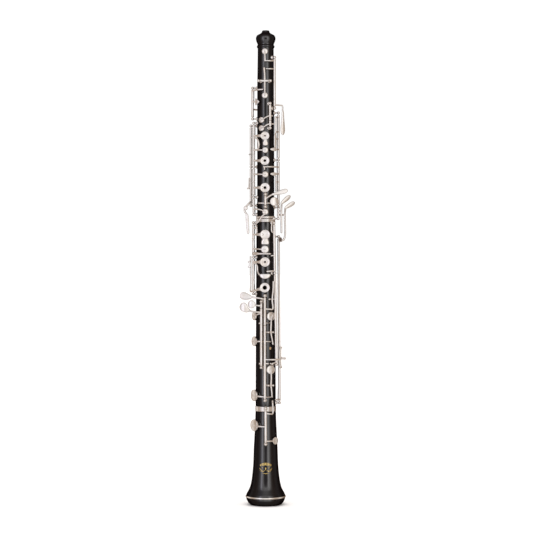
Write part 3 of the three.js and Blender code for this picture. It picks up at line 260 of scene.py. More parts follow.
         (-8.34,-13.33,338.5), (-4.99,-14.74,338.48)],
        [(-11.32,-9.84,349.98,1.1), (-11.06,-10.13,340.98,1.1)],
        [(-15.43,-5,346.89,1), (-11.23,-9.94,346.73,1)],
    ], [dished((-0.66,-14.2,338.48), (-0.0465,-0.9989), 6.1, 2.6)], [
        Plate((-0.67,-14.79,330.23), (-0.0454,-0.999), mirrored([
            (4.6,3.7), (1.8,3.5), (0.6,4.3), (-1.4,4.9), (-3.6,4.7), (-4.2,3.2)]), 1.3)]),
    "f_vent_key": Key("lower_stack_axle", (21.83, 41.02), [
        [(-15.43,-5,320.68,1.1), (-13.25,-9.31,320.57,1.06), (-9.9,-12.77,320.33,1.02),
         (-5.69,-15.09,320.09,0.99), (-0.99,-16.07,319.98,0.95)],
        [(-15.43,-5,314.78,1.7), (-13.58,-8.98,314.75,2.3), (-10.73,-12.33,314.67,1.9),
         (-7.07,-14.81,314.57,1.3), (-2.86,-16.22,314.46,1.05), (1.58,-16.46,314.38,1),
         (5.95,-15.5,314.35,0.95)],
    ], [Cup((-0.88,-14.28,319.98), (-0.0616,-0.9981), 4.8, 2.4, 2.8, 2)]),
    "e_plate_key": Key("lower_stack_axle", (45.78, 71.5), [
        [(-15.43,-5,304.24), (-13.77,-8.34,304.24), (-11.41,-11.18,304.23),
         (-8.49,-13.39,304.23), (-5.16,-14.86,304.23)],
        [(-12.12,-9.82,302.48,1), (-10.51,-11.67,299.23,1.05), (-10.08,-12.68,292.97,1.05),
         (-8.17,-15.36,288.72,1.1)],
        [(-15.43,-5,302.99,1), (-12.12,-9.82,302.48,1)],
    ], [dished((-0.77,-14.36,304.23), (-0.0537,-0.9986), 6.1, 2.9, 1.15)], [
        Plate((-0.83,-14.9,286.47), (-0.0558,-0.9984), mirrored([
            (3,7.8), (-0.5,6.4), (-2.4,4.2), (-3.7,0)]), 1.3)]),
    "d_ring_key": Key("lower_stack_axle", (72.13, 86.93), [
        [(-15.43,-5,267.99), (-13.85,-8.29,268.4), (-11.58,-11.13,269.28),
         (-8.74,-13.37,270.17), (-5.5,-14.91,270.57)],
        [(-15.43,-5,267.87,1.1), (-18.98,-1.4,267.47,1.1), (-18.98,-0.8,274.22,1),
         (-19.1,-0.8,310.73,1)],
    ], [dished((-0.99,-14.51,272.22), (-0.0683,-0.9977), 6.2, 3, 2.55)], [
        Plate((-20.36,-1.3,301.23), (-0.2501,-0.9682), [
            (4.4,2.2), (4.4,-2), (2,-2), (2,-0.6), (-2,-0.6), (-2,-2), (-4.4,-2), (-4.4,2.2)],
            1)]),
    "bridge_lever": Key("right_stack_axle", (2.38, 60.38), [
        [(10.56,-12.53,341.72,1.1), (7.87,-14,341.73,1.05), (7.74,-13.8,355.23,0.95)],
        [(11.38,-13.08,293.23,1.05), (8.37,-14.78,293.03,1.1), (5.15,-15.83,292.67,1.15),
         (1.85,-16.2,292.47,1.2)],
        [(11.06,-12.86,312.47,0.95), (6.79,-13.93,311.98,0.85)],
    ]),
    "left_e_flat_link": Key("right_stack_axle", (65.38, 174.51), [
        [(11.98,-13.48,257.73,1), (9.6,-12.9,257.72,1), (7.6,-13.2,257.72,1),
         (4.1,-14.9,257.72,1)],
        [(13.3,-14.36,179.74,1.05), (9.11,-16.6,177.72,1), (5.86,-17.2,177.47,0.9)],
    ]),
    "low_b_flat_rod_key": Key("low_b_flat_axle", (2.51, 205.88), [
        [(16.21,-4.6,330.84,1.2), (19.69,-4.9,330.73,1.3)],
        [(17.17,-4.6,131.86,1.1), (15.24,-8.98,132.04,1.05), (12.23,-12.66,132.21,1)],
        [(16.92,-4.6,184.31,1.1), (18.43,-6.6,184.72,1)],
        [(18.68,-6.8,183.47,1.1), (21.94,-6.9,183.47,1.3), (24.2,-7,183.47,1.5)],
    ], [], [
        Plate((18.68,-6.4,184.72), (0.5,-0.866), [
            (13.6,-2.6), (13.6,1.8), (11.4,1.8), (10.9,0.4), (-10.9,0.4), (-11.4,1.8),
            (-13.6,1.8), (-13.6,-2.6)], 1.3)]),
    "e_flat_cup_lever": Key("e_flat_cup_axle", (1.75, 4.65), [
        [(6.94,-12.75,236.47,1), (6.78,-14.68,226.72,1.1), (6.5,-14.26,216.47,1.15),
         (8.01,-14.16,207.97,1), (9.03,-13.9,201.47,0.9)],
    ], [Cup((6.08,-11.17,236.47), (0.4781,-0.8783), 5.6, 2.4, 3.6)]),
    "c_sharp_cup_lever": Key("c_sharp_cup_axle", (1.75, 4.65), [
        [(6.58,-15.08,169.72,1), (7.01,-16.04,159.84,1.1), (6.7,-15.41,150.09,1.15),
         (7.41,-15.53,142.96,1), (7.94,-15.26,135.96,0.9)],
    ], [Cup((5.86,-13.43,169.72), (0.3997,-0.9166), 5.6, 2.4, 3.9, 1.6)]),
    "c_sharp_touch": Key("low_c_axle", (2.5, 7.98), [
        [(-5.49,-16.2,249.57,1.2), (-10.35,-17.2,249.97,1.1), (-15.09,-17.2,250.97,1.2)],
    ], [], [Plate((-17.58,-16.9,251.47), (-0.2,-0.9798), ellipse(5.1, 4.9, 16), 1.3)]),
    "low_c_key": Key("low_c_axle", (8.73, 79.84), [
        [(-5.49,-16.2,241.59,1.25), (-12.1,-17.4,241.85,1.15), (-18.95,-16.6,242.97,1.15),
         (-24.08,-15.9,244.72,1.2)],
        [(-5.49,-16.2,239.84,1.1), (-8.7,-15.19,239.32,1.06), (-11.56,-13.36,238.16,1.02),
         (-13.75,-10.77,237,0.99), (-15.17,-7.73,236.47,0.95)],
        [(-5.49,-16.2,205.16,1.1), (-8.65,-15.27,205.13,1.06), (-11.49,-13.52,205.06,1.02),
         (-13.7,-11.02,205,0.99), (-15.17,-8.07,204.97,0.95)],
        [(-5.49,-16.2,227.87,1.1), (-7.54,-15.12,227.72,1.3)],
        [(-5.49,-16.2,177.72,1.1), (-7.36,-15.43,177.47,1.3)],
        [(-5.49,-16.2,205.16,0.8), (-3.5,-15,204.97,0.8), (1.62,-14.2,204.84,0.8),
         (5.75,-12.6,204.72,0.8)],
    ], [Cup((-13.3,-6.77,236.47), (-0.891,-0.454), 5.2, 2.8, 3.3, 2.2),
        Cup((-13.31,-7.08,204.97), (-0.883,-0.4695), 6.1, 2.8, 3.7, 2.2)], [
        Plate((-26.84,-15.4,247.47), (-0.2,-0.9798), [
            (6.2,-1.4), (6.1,1.4), (4.9,2.7), (3,3.7), (0.2,5), (-2.3,7.2), (-4,8.2), (-5.6,6),
            (-6.3,2.4), (-5.4,-1.6), (-3.2,-4.6), (0,-6.3), (3.2,-5.2), (5.4,-3.2)], 1.3)]),
    "e_flat_touch": Key("low_b_axle", (2.74, 36.63), [
        [(-1,-18.6,257.6,1.25), (-5.86,-20.4,258.72,1.15), (-12.09,-19,259.72,1.15),
         (-18.83,-17.2,260.72,1.2)],
        [(-1,-18.6,245.64,1.2), (4.11,-17.9,245.47,1.05), (8.61,-16.4,245.47,1.1),
         (8.11,-16.6,256.72,1.05), (9.24,-16.4,269.22,1.1), (9.49,-16.2,279.72,1)],
        [(-1,-18.6,228.2,0.7), (1.4,-15.7,228.1,0.7), (3.9,-13,228.1,0.7),
         (7.2,-11.8,228.22,0.7)],
    ], [], [
        Plate((-24.58,-16.2,261.47), (-0.15,-0.9887), [
            (7.6,1.6), (5,3), (0,4.6), (-4.2,4.8), (-7.2,2.8), (-8,0), (-7.2,-2.8),
            (-4.2,-4.8), (0,-4.4), (5,-2.6), (7.6,-1.6)], 1.3, (0.9707,-0.1472,-0.1901))]),
    "low_b_key": Key("low_b_axle", (37.26, 127.97), [
        [(-1,-18.6,136.24,1.15), (-5.63,-17.8,136.39,1.11), (-9.84,-15.72,136.73,1.07),
         (-13.2,-12.52,137.06,1.04), (-15.45,-8.57,137.21,1)],
        [(-1,-18.6,136.24,0.7), (1.6,-16.2,135.59,0.7), (4.4,-14,135.59,0.7),
         (8.4,-12.7,135.46,0.7)],
        [(-1,-18.6,182.84,1.15), (5.36,-19.8,182.59,1.05), (12.84,-18.4,182.59,1),
         (18.36,-14.4,182.72,0.9)],
        [(-1,-18.6,177.86,1.1), (3.37,-17.8,177.47,0.9)],
    ], [Cup((-13.48,-7.47,137.21), (-0.8746,-0.4848), 7.2, 3, 4.2, 2.2)]),
    "bell_key": Key("bell_axle", (2.62, 41.98), [
        [(0,-19.3,98.92,1.2), (-4.58,-18.89,99.08,1.15), (-8.89,-17.26,99.44,1.1),
         (-12.53,-14.48,99.8,1.05), (-15.24,-10.87,99.96,1)],
        [(0.1,-19.38,80.98,1.1), (5.07,-18.02,80.91,1.03), (9.34,-15.45,80.78,0.97),
         (12.63,-11.95,80.71,0.9)],
        [(-0.09,-19.23,115.61,1.15), (4.74,-18.9,114.96,1.05), (8.61,-17,115.21,1.1),
         (8.49,-17,130.96,1)],
    ], [Cup((-13.41,-9.57,99.96), (-0.8141,-0.5807), 7.4, 3, 4.4, 2.4),
        Cup((11.21,-10.61,80.71), (0.7263,-0.6873), 4.6, 2.6, 2.53, 0.4)]),
}

# seats of the adjusting screws, whose heads point away from the bore
SCREWS = {
    "a_flat_trill_key": [(-1.5,-15.9,420.3)], "f_vent_key": [(5.3,-16.3,314.35)],
    "bridge_lever": [(2.3,-17,292.5), (7.75,-14.6,353.8)], "g_sharp_touch": [(-8.3,-13,377.7)],
    "lower_trill_key": [(9.5,-12.6,476.74)], "upper_trill_key": [(7.8,-13.3,486.74)],
    "left_e_flat_link": [(6.6,-17.9,177.6), (4.6,-15.6,257.72)],
    "f_sharp_plate_key": [(-11.4,-10.7,349.2)], "half_hole_key": [(-8.6,-13.5,447)],
    "low_b_key": [(17.6,-15.6,182.7)], "low_b_flat_rod_key": [(19.4,-7.3,184.7)],
    "thumb_octave_key": [(-4.4,-14.3,519.7)], "bell_key": [(8.5,-17.7,129.6)],
}


# ---- mesh tools ---------------------------------------------------------------------------------
def unit(v):
    return Vector(v).normalized()


def square(v, axis):
    """The direction of v made square to a unit axis."""
    return (v - axis * v.dot(axis)).normalized()


def placed(origin, normal, along):
    """Matrix at origin whose Z is normal and whose X is along made square to it."""
    z = unit(normal)
    x = square(Vector(along), z)
    place = Matrix((x, z.cross(x), z)).transposed().to_4x4()
    place.translation = Vector(origin)
    return place


def placed_on(origin, axis):
    x_like = (1, 0, 0) if abs(unit(axis).x) < 0.8 else (0, 1, 0)
    return placed(origin, axis, x_like)


def up_or_x(axis):
    return Vector(UP if abs(axis.z) < 0.8 else (1, 0, 0))


def to_mesh(verts, faces):
    mesh = bpy.data.meshes.new("part")
    mesh.from_pydata([tuple(v) for v in verts], [], faces)
    bm = bmesh.new()
    bm.from_mesh(mesh)
    bmesh.ops.remove_doubles(bm, verts=bm.verts, dist=1e-5)
    bmesh.ops.dissolve_degenerate(bm, edges=bm.edges, dist=1e-6)
    bmesh.ops.recalc_face_normals(bm, faces=bm.faces)
    if bm.calc_volume(signed=True) < 0:
        bmesh.ops.reverse_faces(bm, faces=bm.faces)
    bm.to_mesh(mesh)
    bm.free()
    return mesh


def quads(rings, sides, first=0):
    """Faces between successive rings of vertices, numbered from first."""
    faces = []
    for i in range(rings - 1):
        a = first + i * sides
        b = a + sides
        for k in range(sides):
            j = (k + 1) % sides
            faces.append((a + k, a + j, b + j, b + k))
    return faces


def revolve(profile, seg, place=Matrix.Identity(4)):
    """A turned solid from (radius, height) points. A profile that starts off the axis closes on
    itself; any other starts and ends on the axis."""
    verts, rings = [], []
    for radius, z in profile:
        on_axis = radius < 1e-6
        count = 1 if on_axis else seg
        rings.append(range(len(verts), len(verts) + count))
        for k in range(count):
            a = 2 * math.pi * k / seg
            at = (0, 0, z) if on_axis else (radius * math.cos(a), radius * math.sin(a), z)
            verts.append(place @ Vector(at))
    pairs = list(zip(rings, rings[1:]))
    if profile[0][0] > 1e-6:
        pairs.append((rings[-1], rings[0]))
    faces = []
    for a, b in pairs:
        if len(a) == 1 and len(b) == 1:
            continue
        for k in range(seg):
            j = (k + 1) % seg
            if len(a) == 1:
                faces.append((a[0], b[j], b[k]))
            elif len(b) == 1:
                faces.append((a[k], a[j], b[0]))
            else:
                faces.append((a[k], a[j], b[j], b[k]))
    return to_mesh(verts, faces)


def spline(points, steps):
    """Centripetal curve through three or more points."""
    def between(p, q, tp, tq, t):
        return p * ((tq - t) / (tq - tp)) + q * ((t - tp) / (tq - tp))

    pts = [Vector(p) for p in points]
    ends = [pts[0] * 2 - pts[1]] + pts + [pts[-1] * 2 - pts[-2]]
    out = []
    for i in range(1, len(ends) - 2):
        p0, p1, p2, p3 = ends[i - 1: i + 3]
        knots = [0.0]
        for a, b in ((p0, p1), (p1, p2), (p2, p3)):
            knots.append(knots[-1] + max((b - a).length, 1e-6) ** 0.5)
        t0, t1, t2, t3 = knots
        for s in range(steps):
            t = t1 + (t2 - t1) * s / steps
            a1 = between(p0, p1, t0, t1, t)
            a2 = between(p1, p2, t1, t2, t)
            a3 = between(p2, p3, t2, t3, t)
            b1 = between(a1, a2, t0, t2, t)
            b2 = between(a2, a3, t1, t3, t)
            out.append(between(b1, b2, t1, t2, t))
    out.append(pts[-1].copy())
    return out


def curve2(points, steps=5):
    return [(p[0], p[1]) for p in spline([(a, b, 0) for a, b in points], steps)]


def sample(values, i, last):
    """The value at station i of 0..last, with the values spread evenly over them."""
    at = i / last * (len(values) - 1)
    k = min(int(at), len(values) - 2)
    return values[k] + (values[k + 1] - values[k]) * (at - k)


def sweep(points, radii, sides=12, steps=5, flat=(1.0, 1.0)):
    """A bent, tapered bar with rounded ends; flat is its thickness to width at either end."""
    if len(points) > 2:
        line = spline(points, steps)
    else:
        line = [Vector(points[0]).lerp(Vector(points[1]), s / 3) for s in range(4)]
    last = len(line) - 1
    ahead = [(line[min(i + 1, last)] - line[max(i - 1, 0)]).normalized()
             for i in range(last + 1)]
    x = square(up_or_x(ahead[0]), ahead[0])
    rings = []
    for i in range(last + 1):
        x = square(x, ahead[i])
        rings.append((line[i], x, ahead[i].cross(x), sample(radii, i, last),
                      sample(flat, i, last)))

    def cap(ring, out):
        centre, x, y, radius, thin = ring
        angles = [math.radians(a) for a in (75, 50, 25)]
        return [(centre + out * radius * math.sin(a) * 0.9, x, y, radius * math.cos(a), thin)
                for a in angles]

    start, end = rings[0], rings[-1]
    verts = [line[0] - ahead[0] * start[3] * 0.9]
    rings = cap(start, -ahead[0]) + rings + cap(end, ahead[-1])[::-1]
    for centre, x, y, radius, thin in rings:
        for k in range(sides):
            a = 2 * math.pi * k / sides
            verts.append(centre + x * (radius * math.cos(a)) + y * (radius * thin * math.sin(a)))
    verts.append(line[-1] + ahead[-1] * end[3] * 0.9)
    faces = [(0, 1 + (k + 1) % sides, 1 + k) for k in range(sides)]
    faces += quads(len(rings), sides, 1)
    tip, base = len(verts) - 1, 1 + (len(rings) - 1) * sides
    faces += [(tip, base + k, base + (k + 1) % sides) for k in range(sides)]
    return to_mesh(verts, faces)


def ball(centre, radius, axis, seg, rows):
    turns = [math.pi * i / rows for i in range(rows + 1)]
    profile = [(radius * math.sin(t), -radius * math.cos(t)) for t in turns]
    return revolve(profile, seg, placed_on(centre, axis))


def cylinder(radius, low, high, seg, place):
    return revolve([(0, low), (radius, low), (radius, high), (0, high)], seg, place)


def rod(a, b, radius, seg, chamfer=0.0):
    a, b = Vector(a), Vector(b)
    place, length = placed_on(a, b - a), (b - a).length
    if not chamfer:
        return cylinder(radius, 0, length, seg, place)
    return revolve([(0, 0), (radius - chamfer, 0), (radius, chamfer), (radius, length - chamfer),
                    (radius - chamfer, length), (0, length)], seg, place)


def brick(centre, directions, sizes):
    x, y, z = [unit(d) for d in directions]
    sx, sy, sz = sizes
    verts = [centre + x * (i * sx / 2) + y * (j * sy / 2) + z * (k * sz / 2)
             for i in (-1, 1) for j in (-1, 1) for k in (-1, 1)]
    return to_mesh(verts, [(0, 1, 3, 2), (4, 6, 7, 5), (0, 4, 5, 1), (2, 3, 7, 6), (0, 2, 6, 4),
                           (1, 5, 7, 3)])


def slotted(seat, normal, radius, head, shank, slot_along, seg=24):
    """A cheese-head screw standing from seat along normal, and the cutter for its slot."""
    seat, normal = Vector(seat), unit(normal)
    screw = revolve([(0, -shank), (radius * 0.55, -shank), (radius * 0.55, 0), (radius - 0.06, 0),
                     (radius, 0.08), (radius, head * 0.62), (radius * 0.9, head * 0.88),
                     (radius * 0.6, head), (0, head * 1.04)],
                    seg, placed(seat, normal, up_or_x(normal)))
    along = square(unit(slot_along), normal)
    slot = brick(seat + normal * head, (along, normal.cross(along), normal),
                 (3 * radius, max(0.24, radius * 0.26), head * 0.9))
    return screw, slot


def soften(outline):
    """Cuts the corners of a closed outline, twice."""
    pts = [Vector(p) for p in outline]
    for _ in range(2):
        cut = []
        for i, p in enumerate(pts):
            q = pts[(i + 1) % len(pts)]
            cut += [p * 0.78 + q * 0.22, p * 0.22 + q * 0.78]
        pts = cut
    return pts


def inset(pts, distance):
    count, out = len(pts), []
    nexts = pts[1:] + pts[:1]
    area = sum(p.x * q.y - q.x * p.y for p, q in zip(pts, nexts))
    side = 1 if area > 0 else -1
    for i in range(count):
        edge = nexts[i] - pts[i - 1]
        edge.normalize()
        out.append(pts[i] + Vector((-edge.y, edge.x)) * (side * distance))
    return out


def slab(centre, normal, along, outline, height, crown, bend=0.0, turn=True):
    """A plate of smoothed outline with rounded edges. If its middle sees the whole outline, its
    top is domed by crown and its sides droop by bend. turn flips the outline's second axis."""
    place = placed(centre, normal, along)
    pts = soften([(a, -b) for a, b in outline] if turn else outline)
    count = len(pts)
    mid = Vector((sum(p.x for p in pts) / count, sum(p.y for p in pts) / count))
    turns = [(pts[i] - mid).cross(pts[(i + 1) % count] - mid) for i in range(count)]
    domed = all(t > 0 for t in turns) or all(t < 0 for t in turns)
    edge = min(0.60, 0.47 * height)
    layers = [(inset(pts, edge * 0.75), 0.0), (inset(pts, edge * 0.2), edge * 0.25),
              (pts, edge * 0.75), (pts, height - edge),
              (inset(pts, edge * 0.25), height - edge * 0.4), (inset(pts, edge * 0.85), height)]
    if domed:
        top = layers[-1][0]
        for s in (0.85, 0.62, 0.35):
            layers.append(([mid + (p - mid) * s for p in top], height + crown * (1 - s * s)))

    def vert(p, z):
        droop = -bend * p.y * p.y if domed else 0.0
        return place @ Vector((p.x, p.y, z + droop))

    verts = [vert(p, z) for ring, z in layers for p in ring]
    faces = quads(len(layers), count)
    last = (len(layers) - 1) * count
    if domed:
        verts += [vert(mid, height + crown), vert(mid, 0)]
        top, bottom = len(verts) - 2, len(verts) - 1
        for j in range(count):
            q = (j + 1) % count
            faces += [(last + j, last + q, top), (q, j, bottom)]
    else:
        faces.append(tuple(range(count))[::-1])
        faces.append(tuple(last + j for j in range(count)))
    return to_mesh(verts, faces)


def merge(adds, cuts=()):
    """One closed mesh from overlapping closed meshes, less the cutters."""
    base = bpy.data.objects.new("base", adds[0])
    SCENE.collection.objects.link(base)
    objects, groups = [base], []
    for operation, meshes in (("UNION", adds[1:]), ("DIFFERENCE", cuts)):
        if not meshes:
            continue
        group = bpy.data.collections.new(operation)
        groups.append(group)
        for mesh in meshes:
            operand = bpy.data.objects.new("operand", mesh)
            group.objects.link(operand)
            objects.append(operand)
        mod = base.modifiers.new(operation, "BOOLEAN")
        mod.operation = operation
        mod.operand_type = "COLLECTION"
        mod.collection = group
        mod.solver = "MANIFOLD"
    depsgraph = bpy.context.evaluated_depsgraph_get()
    depsgraph.update()
    merged = bpy.data.meshes.new_from_object(base.evaluated_get(depsgraph))
    for obj in objects:
        bpy.data.objects.remove(obj)
    for group in groups:
        bpy.data.collections.remove(group)
    return merged


def join(meshes):
    """Separate closed meshes in one mesh."""
    bm = bmesh.new()
    for mesh in meshes:
        bm.from_mesh(mesh)
    out = bpy.data.meshes.new("joined")
    bm.to_mesh(out)
    bm.free()
    return out


def piece(name, mesh, material, body, sharp=38, replaces=True):
    """Makes the object that moves with body. Edges over sharp degrees stay hard; replaces says
    whether it stands for the CAD piece of the same name."""
    mesh.name = name
    mesh.transform(Matrix.Scale(MM, 4))
    mesh.materials.clear()
    mesh.materials.append(material)
    mesh.polygons.foreach_set("material_index", [0] * len(mesh.polygons))
    mesh.polygons.foreach_set("use_smooth", [True] * len(mesh.polygons))
    mesh.set_sharp_from_angle(angle=math.radians(sharp))
    mesh.update()
    obj = bpy.data.objects.new(name, mesh)
    SCENE.collection.objects.link(obj)
    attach(obj, body)
    if replaces:
        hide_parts(name)


# ---- materials ----------------------------------------------------------------------------------
class Graph:
    """Short calls that add nodes to a tree. A colour is (r, g, b), or one number for a grey."""

    def __init__(self, tree):
        self.tree = tree

    def connect(self, node, inputs):
        for key, value in inputs.items():
            if hasattr(value, "links"):
                self.tree.links.new(value, node.inputs[key])
            else:
                node.inputs[key].default_value = value

    def new(self, kind, inputs={}, **settings):
        node = self.tree.nodes.new(kind)
        for key, value in settings.items():
            setattr(node, key, value)
        self.connect(node, inputs)
        return node

    def ramp(self, fac, stops):
        node = self.new("ShaderNodeValToRGB", {"Fac": fac})
        elements = node.color_ramp.elements
        while len(elements) < len(stops):
            elements.new(0.5)
        for element, (position, colour) in zip(elements, stops):
            element.position = position
            element.color = (*(colour if isinstance(colour, tuple) else (colour,) * 3), 1.0)
        return node.outputs["Color"]

    def math(self, operation, *values):
        return self.new("ShaderNodeMath", dict(enumerate(values)), operation=operation).outputs[0]


class Surface(Graph):
    def __init__(self, name):
        self.material = bpy.data.materials.new(name)
        self.material.use_nodes = True
        super().__init__(self.material.node_tree)
        self.coords = self.new("ShaderNodeTexCoord").outputs["Object"]

    def noise(self, scale=1.0, detail=3.0, rough=0.5, stretch=None):
        coords = self.coords
        if stretch:
            mapping = self.new("ShaderNodeMapping", {"Vector": coords, "Scale": stretch})
            coords = mapping.outputs["Vector"]
        return self.new("ShaderNodeTexNoise", {"Vector": coords, "Scale": scale, "Detail": detail,
                                               "Roughness": rough}).outputs["Fac"]

    def mix(self, fac, a, b, blend="MIX"):
        a, b = [(*c, 1.0) if isinstance(c, tuple) else c for c in (a, b)]
        return self.new("ShaderNodeMix", {0: fac, 6: a, 7: b}, data_type="RGBA",
                        blend_type=blend).outputs[2]

    def span(self, fac, low, high):
        return self.new("ShaderNodeMapRange",
                        {"Value": fac, "To Min": low, "To Max": high}).outputs["Result"]

    def facing(self, stops):
        """A ramp from head-on (0) to grazing (1)."""
        return self.ramp(self.new("ShaderNodeLayerWeight", {"Blend": 0.5}).outputs["Facing"],
                         stops)

    def bump(self, height, strength, distance):
        return self.new("ShaderNodeBump", {"Height": height, "Strength": strength,
                                           "Distance": distance}).outputs["Normal"]

    def finish(self, inputs):
        self.connect(self.tree.nodes["Principled BSDF"], inputs)
        return self.material


def silver(name, dull, tarnish_and_shade, rough, corner_reach, corner_depth, stretch=None):
    """Cloudy silver plate with painted shade: brown in its corners, where ambient occlusion finds
    them, and warm brown at grazing angles.
    """
    s = Surface(name)
    cloud = s.noise(scale=90.0, detail=4.0, rough=0.6)
    fine = s.noise(scale=1500.0, rough=0.6, stretch=stretch)
    skin = s.mix(s.ramp(cloud, [(0.38, 0), (0.72, 1)]), (0.965, 0.935, 0.905), dull)
    # painted shade: where the ambient occlusion node finds a corner or crevice, the colour is
    # pulled towards the brown colour argument
    corner = s.new("ShaderNodeAmbientOcclusion", {"Distance": corner_reach}, samples=6)
    corner_shade_mask = s.ramp(corner.outputs["AO"], [(0.0, 1), (corner_depth, 0)])
    colour = s.mix(s.mix(1.0, corner_shade_mask, (0.88, 0.88, 0.88), "MULTIPLY"), skin, tarnish_and_shade)
    # painted shade and reflection: warm brown laid on towards grazing angles, where the surface
    # turns away from the view
    rim = s.facing([(0.40, 0), (0.62, 0.26), (0.82, 0.52), (0.96, 0.46)])
    colour = s.mix(rim, colour, (0.56, 0.41, 0.30))
    rub = s.noise(scale=420.0, detail=5.0, rough=0.7)
    return s.finish({"Base Color": colour, "Metallic": 1.0, "Roughness": s.span(rub, *rough),
                     "Specular Tint": (0.72, 0.62, 0.55, 1.0),
                     "Normal": s.bump(fine, strength=0.08, distance=0.00004)})


def wood(name):
    """Near-black grained wood with a band of gloss just off head-on."""
    s = Surface(name)
    grain = s.noise(detail=5.0, rough=0.6, stretch=(950.0, 950.0, 16.0))
    pore = s.noise(detail=2.0, stretch=(2600.0, 2600.0, 110.0))
    broad = s.noise(stretch=(60.0, 60.0, 8.0))
    base = s.ramp(grain, [(0.30, (0.0028, 0.0018, 0.0020)), (0.55, (0.0050, 0.0034, 0.0037)),
                          (0.78, (0.0115, 0.0074, 0.0074)), (0.9, (0.018, 0.0118, 0.0108))])
    base = s.mix(s.ramp(broad, [(0.35, 0), (0.75, 0.5)]), base, (0.0090, 0.0062, 0.0064))
    height = s.mix(0.35, grain, s.ramp(pore, [(0.30, 0), (0.42, 1)]))
    gloss = s.facing([(0.0, 0.12), (0.005, 0.17), (0.014, 1), (0.050, 1), (0.085, 0.46),
                      (0.14, 0.24), (0.26, 0.11), (0.50, 0)])
    return s.finish({"Base Color": base, "Roughness": s.span(grain, low=0.11, high=0.19),
                     "Specular IOR Level": gloss, "IOR": 1.6,
                     "Normal": s.bump(height, strength=0.05, distance=0.00001)})


def cork(name):
    s = Surface(name)
    cell = s.new("ShaderNodeTexVoronoi", {"Vector": s.coords, "Scale": 1500.0})
    cell = cell.outputs["Distance"]
    speck = s.noise(scale=700.0, detail=4.0, rough=0.7)
    broad = s.noise(scale=160.0, detail=2.0)
    base = s.ramp(broad, [(0.3, (0.42, 0.25, 0.12)), (0.7, (0.60, 0.40, 0.21))])
    base = s.mix(s.ramp(speck, [(0.56, 0), (0.68, 0.85)]), base, (0.12, 0.055, 0.025))
    base = s.mix(s.ramp(cell, [(0.0, 0), (0.9, 0.35)]), base, (0.72, 0.52, 0.31))
    return s.finish({"Base Color": base, "Roughness": s.span(speck, low=0.72, high=0.95),
                     "Normal": s.bump(s.mix(0.5, cell, speck), strength=0.6, distance=0.00012)})


def pad(name, dark, light):
    """Fibrous skin, stained between dark and light."""
    s = Surface(name)
    fibre = s.noise(detail=4.0, rough=0.7, stretch=(2200.0, 2200.0, 700.0))
    stain = s.noise(scale=260.0, rough=0.6)
    base = s.ramp(stain, [(0.3, dark), (0.7, light)])
    base = s.mix(s.ramp(fibre, [(0.4, 0), (0.75, 0.4)]), base, (0.34, 0.15, 0.055))
    return s.finish({"Base Color": base, "Roughness": s.span(fibre, low=0.45, high=0.7),
                     "Sheen Weight": 0.15,
                     "Normal": s.bump(fibre, strength=0.35, distance=0.00006)})


def metal(name, light, dark, rough, tarnish_and_shade):
    s = Surface(name)
    cloud = s.noise(scale=140.0, detail=4.0, rough=0.65)
    fine = s.noise(rough=0.6, stretch=(1700.0, 1700.0, 1700.0))
    base = s.mix(s.ramp(cloud, [(0.35, 0), (0.7, 1)]), light, dark)
    # real tarnish: dark spots scattered by noise, with no shade in them
    spots = s.noise(scale=600.0, detail=5.0, rough=0.7)
    base = s.mix(s.ramp(spots, [(0.58, 0), (0.72, 0.7)]), base, tarnish_and_shade)
    return s.finish({"Base Color": base, "Metallic": 1.0, "Roughness": s.span(fine, *rough),
                     "Normal": s.bump(fine, strength=0.15, distance=0.00004)})


# In both silvers the brown colour argument is painted shade in the corners; corner_reach and
# corner_depth set how far it spreads.
SILVER = silver("silver_plate", dull=(0.87, 0.80, 0.725), tarnish_and_shade=(0.40, 0.235, 0.130),
                rough=(0.22, 0.36), corner_reach=0.0022, corner_depth=0.62)
TURNED = silver("bright_turned_silver", dull=(0.875, 0.80, 0.72), tarnish_and_shade=(0.38, 0.23, 0.13),
                rough=(0.18, 0.30), corner_reach=0.0018, corner_depth=0.5,
                stretch=(1.0, 1.0, 3.5))
WOOD = wood("dark_wood")
CORK = cork("sanded_cork")
PAD = pad("skin_pad", dark=(0.50, 0.245, 0.095), light=(0.66, 0.37, 0.17))
BRASS = metal("drawn_brass", light=(0.72, 0.54, 0.27), dark=(0.55, 0.38, 0.17),
              rough=(0.22, 0.42), tarnish_and_shade=(0.22, 0.13, 0.06))
GOLD = metal("gold_ornament", light=(0.98, 0.74, 0.26), dark=(0.86, 0.58, 0.16),
             rough=(0.26, 0.42), tarnish_and_shade=(0.46, 0.28, 0.07))
BLUED = metal("blued_steel", light=(0.20, 0.23, 0.36), dark=(0.13, 0.13, 0.20),
              rough=(0.22, 0.40), tarnish_and_shade=(0.10, 0.08, 0.08))
LEATHER = pad("dark_leather", dark=(0.035, 0.022, 0.018), light=(0.035, 0.022, 0.018))

# ---- turned joints: profiles of (radius, height) ------------------------------------------------
UPPER_BOTTOM, LOWER_TOP, LOWER_BOTTOM, BELL_TOP = 358.55, 358.2, 123.6, 123.25
SEG = 96
CROWN = [(3.9, 594.85), (4.1, 595), (4.35, 594.8)] + curve2(
    [(4.6, 594.2), (4.8, 593.3), (5.5, 592.3), (6.9, 591.2), (8.6, 590.3), (10.1, 589.5),
     (11.2, 588.6), (12, 587.2), (12.33, 585.3), (12.2, 583.3), (11.6, 581.2), (10.8, 579.3),
     (10.25, 578), (10.1, 577.2)], 4) + curve2(
    [(10.15, 576.8), (10.6, 576.2), (11.05, 575.5), (11.12, 574.6), (10.85, 573.8),
     (10.35, 573.2), (10.05, 572.4)], 4)
UPPER_SIDE = [(10.05, 568), (10.06, 564), (10.25, 551), (10.65, 526.8), (10.68, 480),
              (10.71, 430), (10.75, 380), (10.75, 362.2), (10.6, 361.95)]
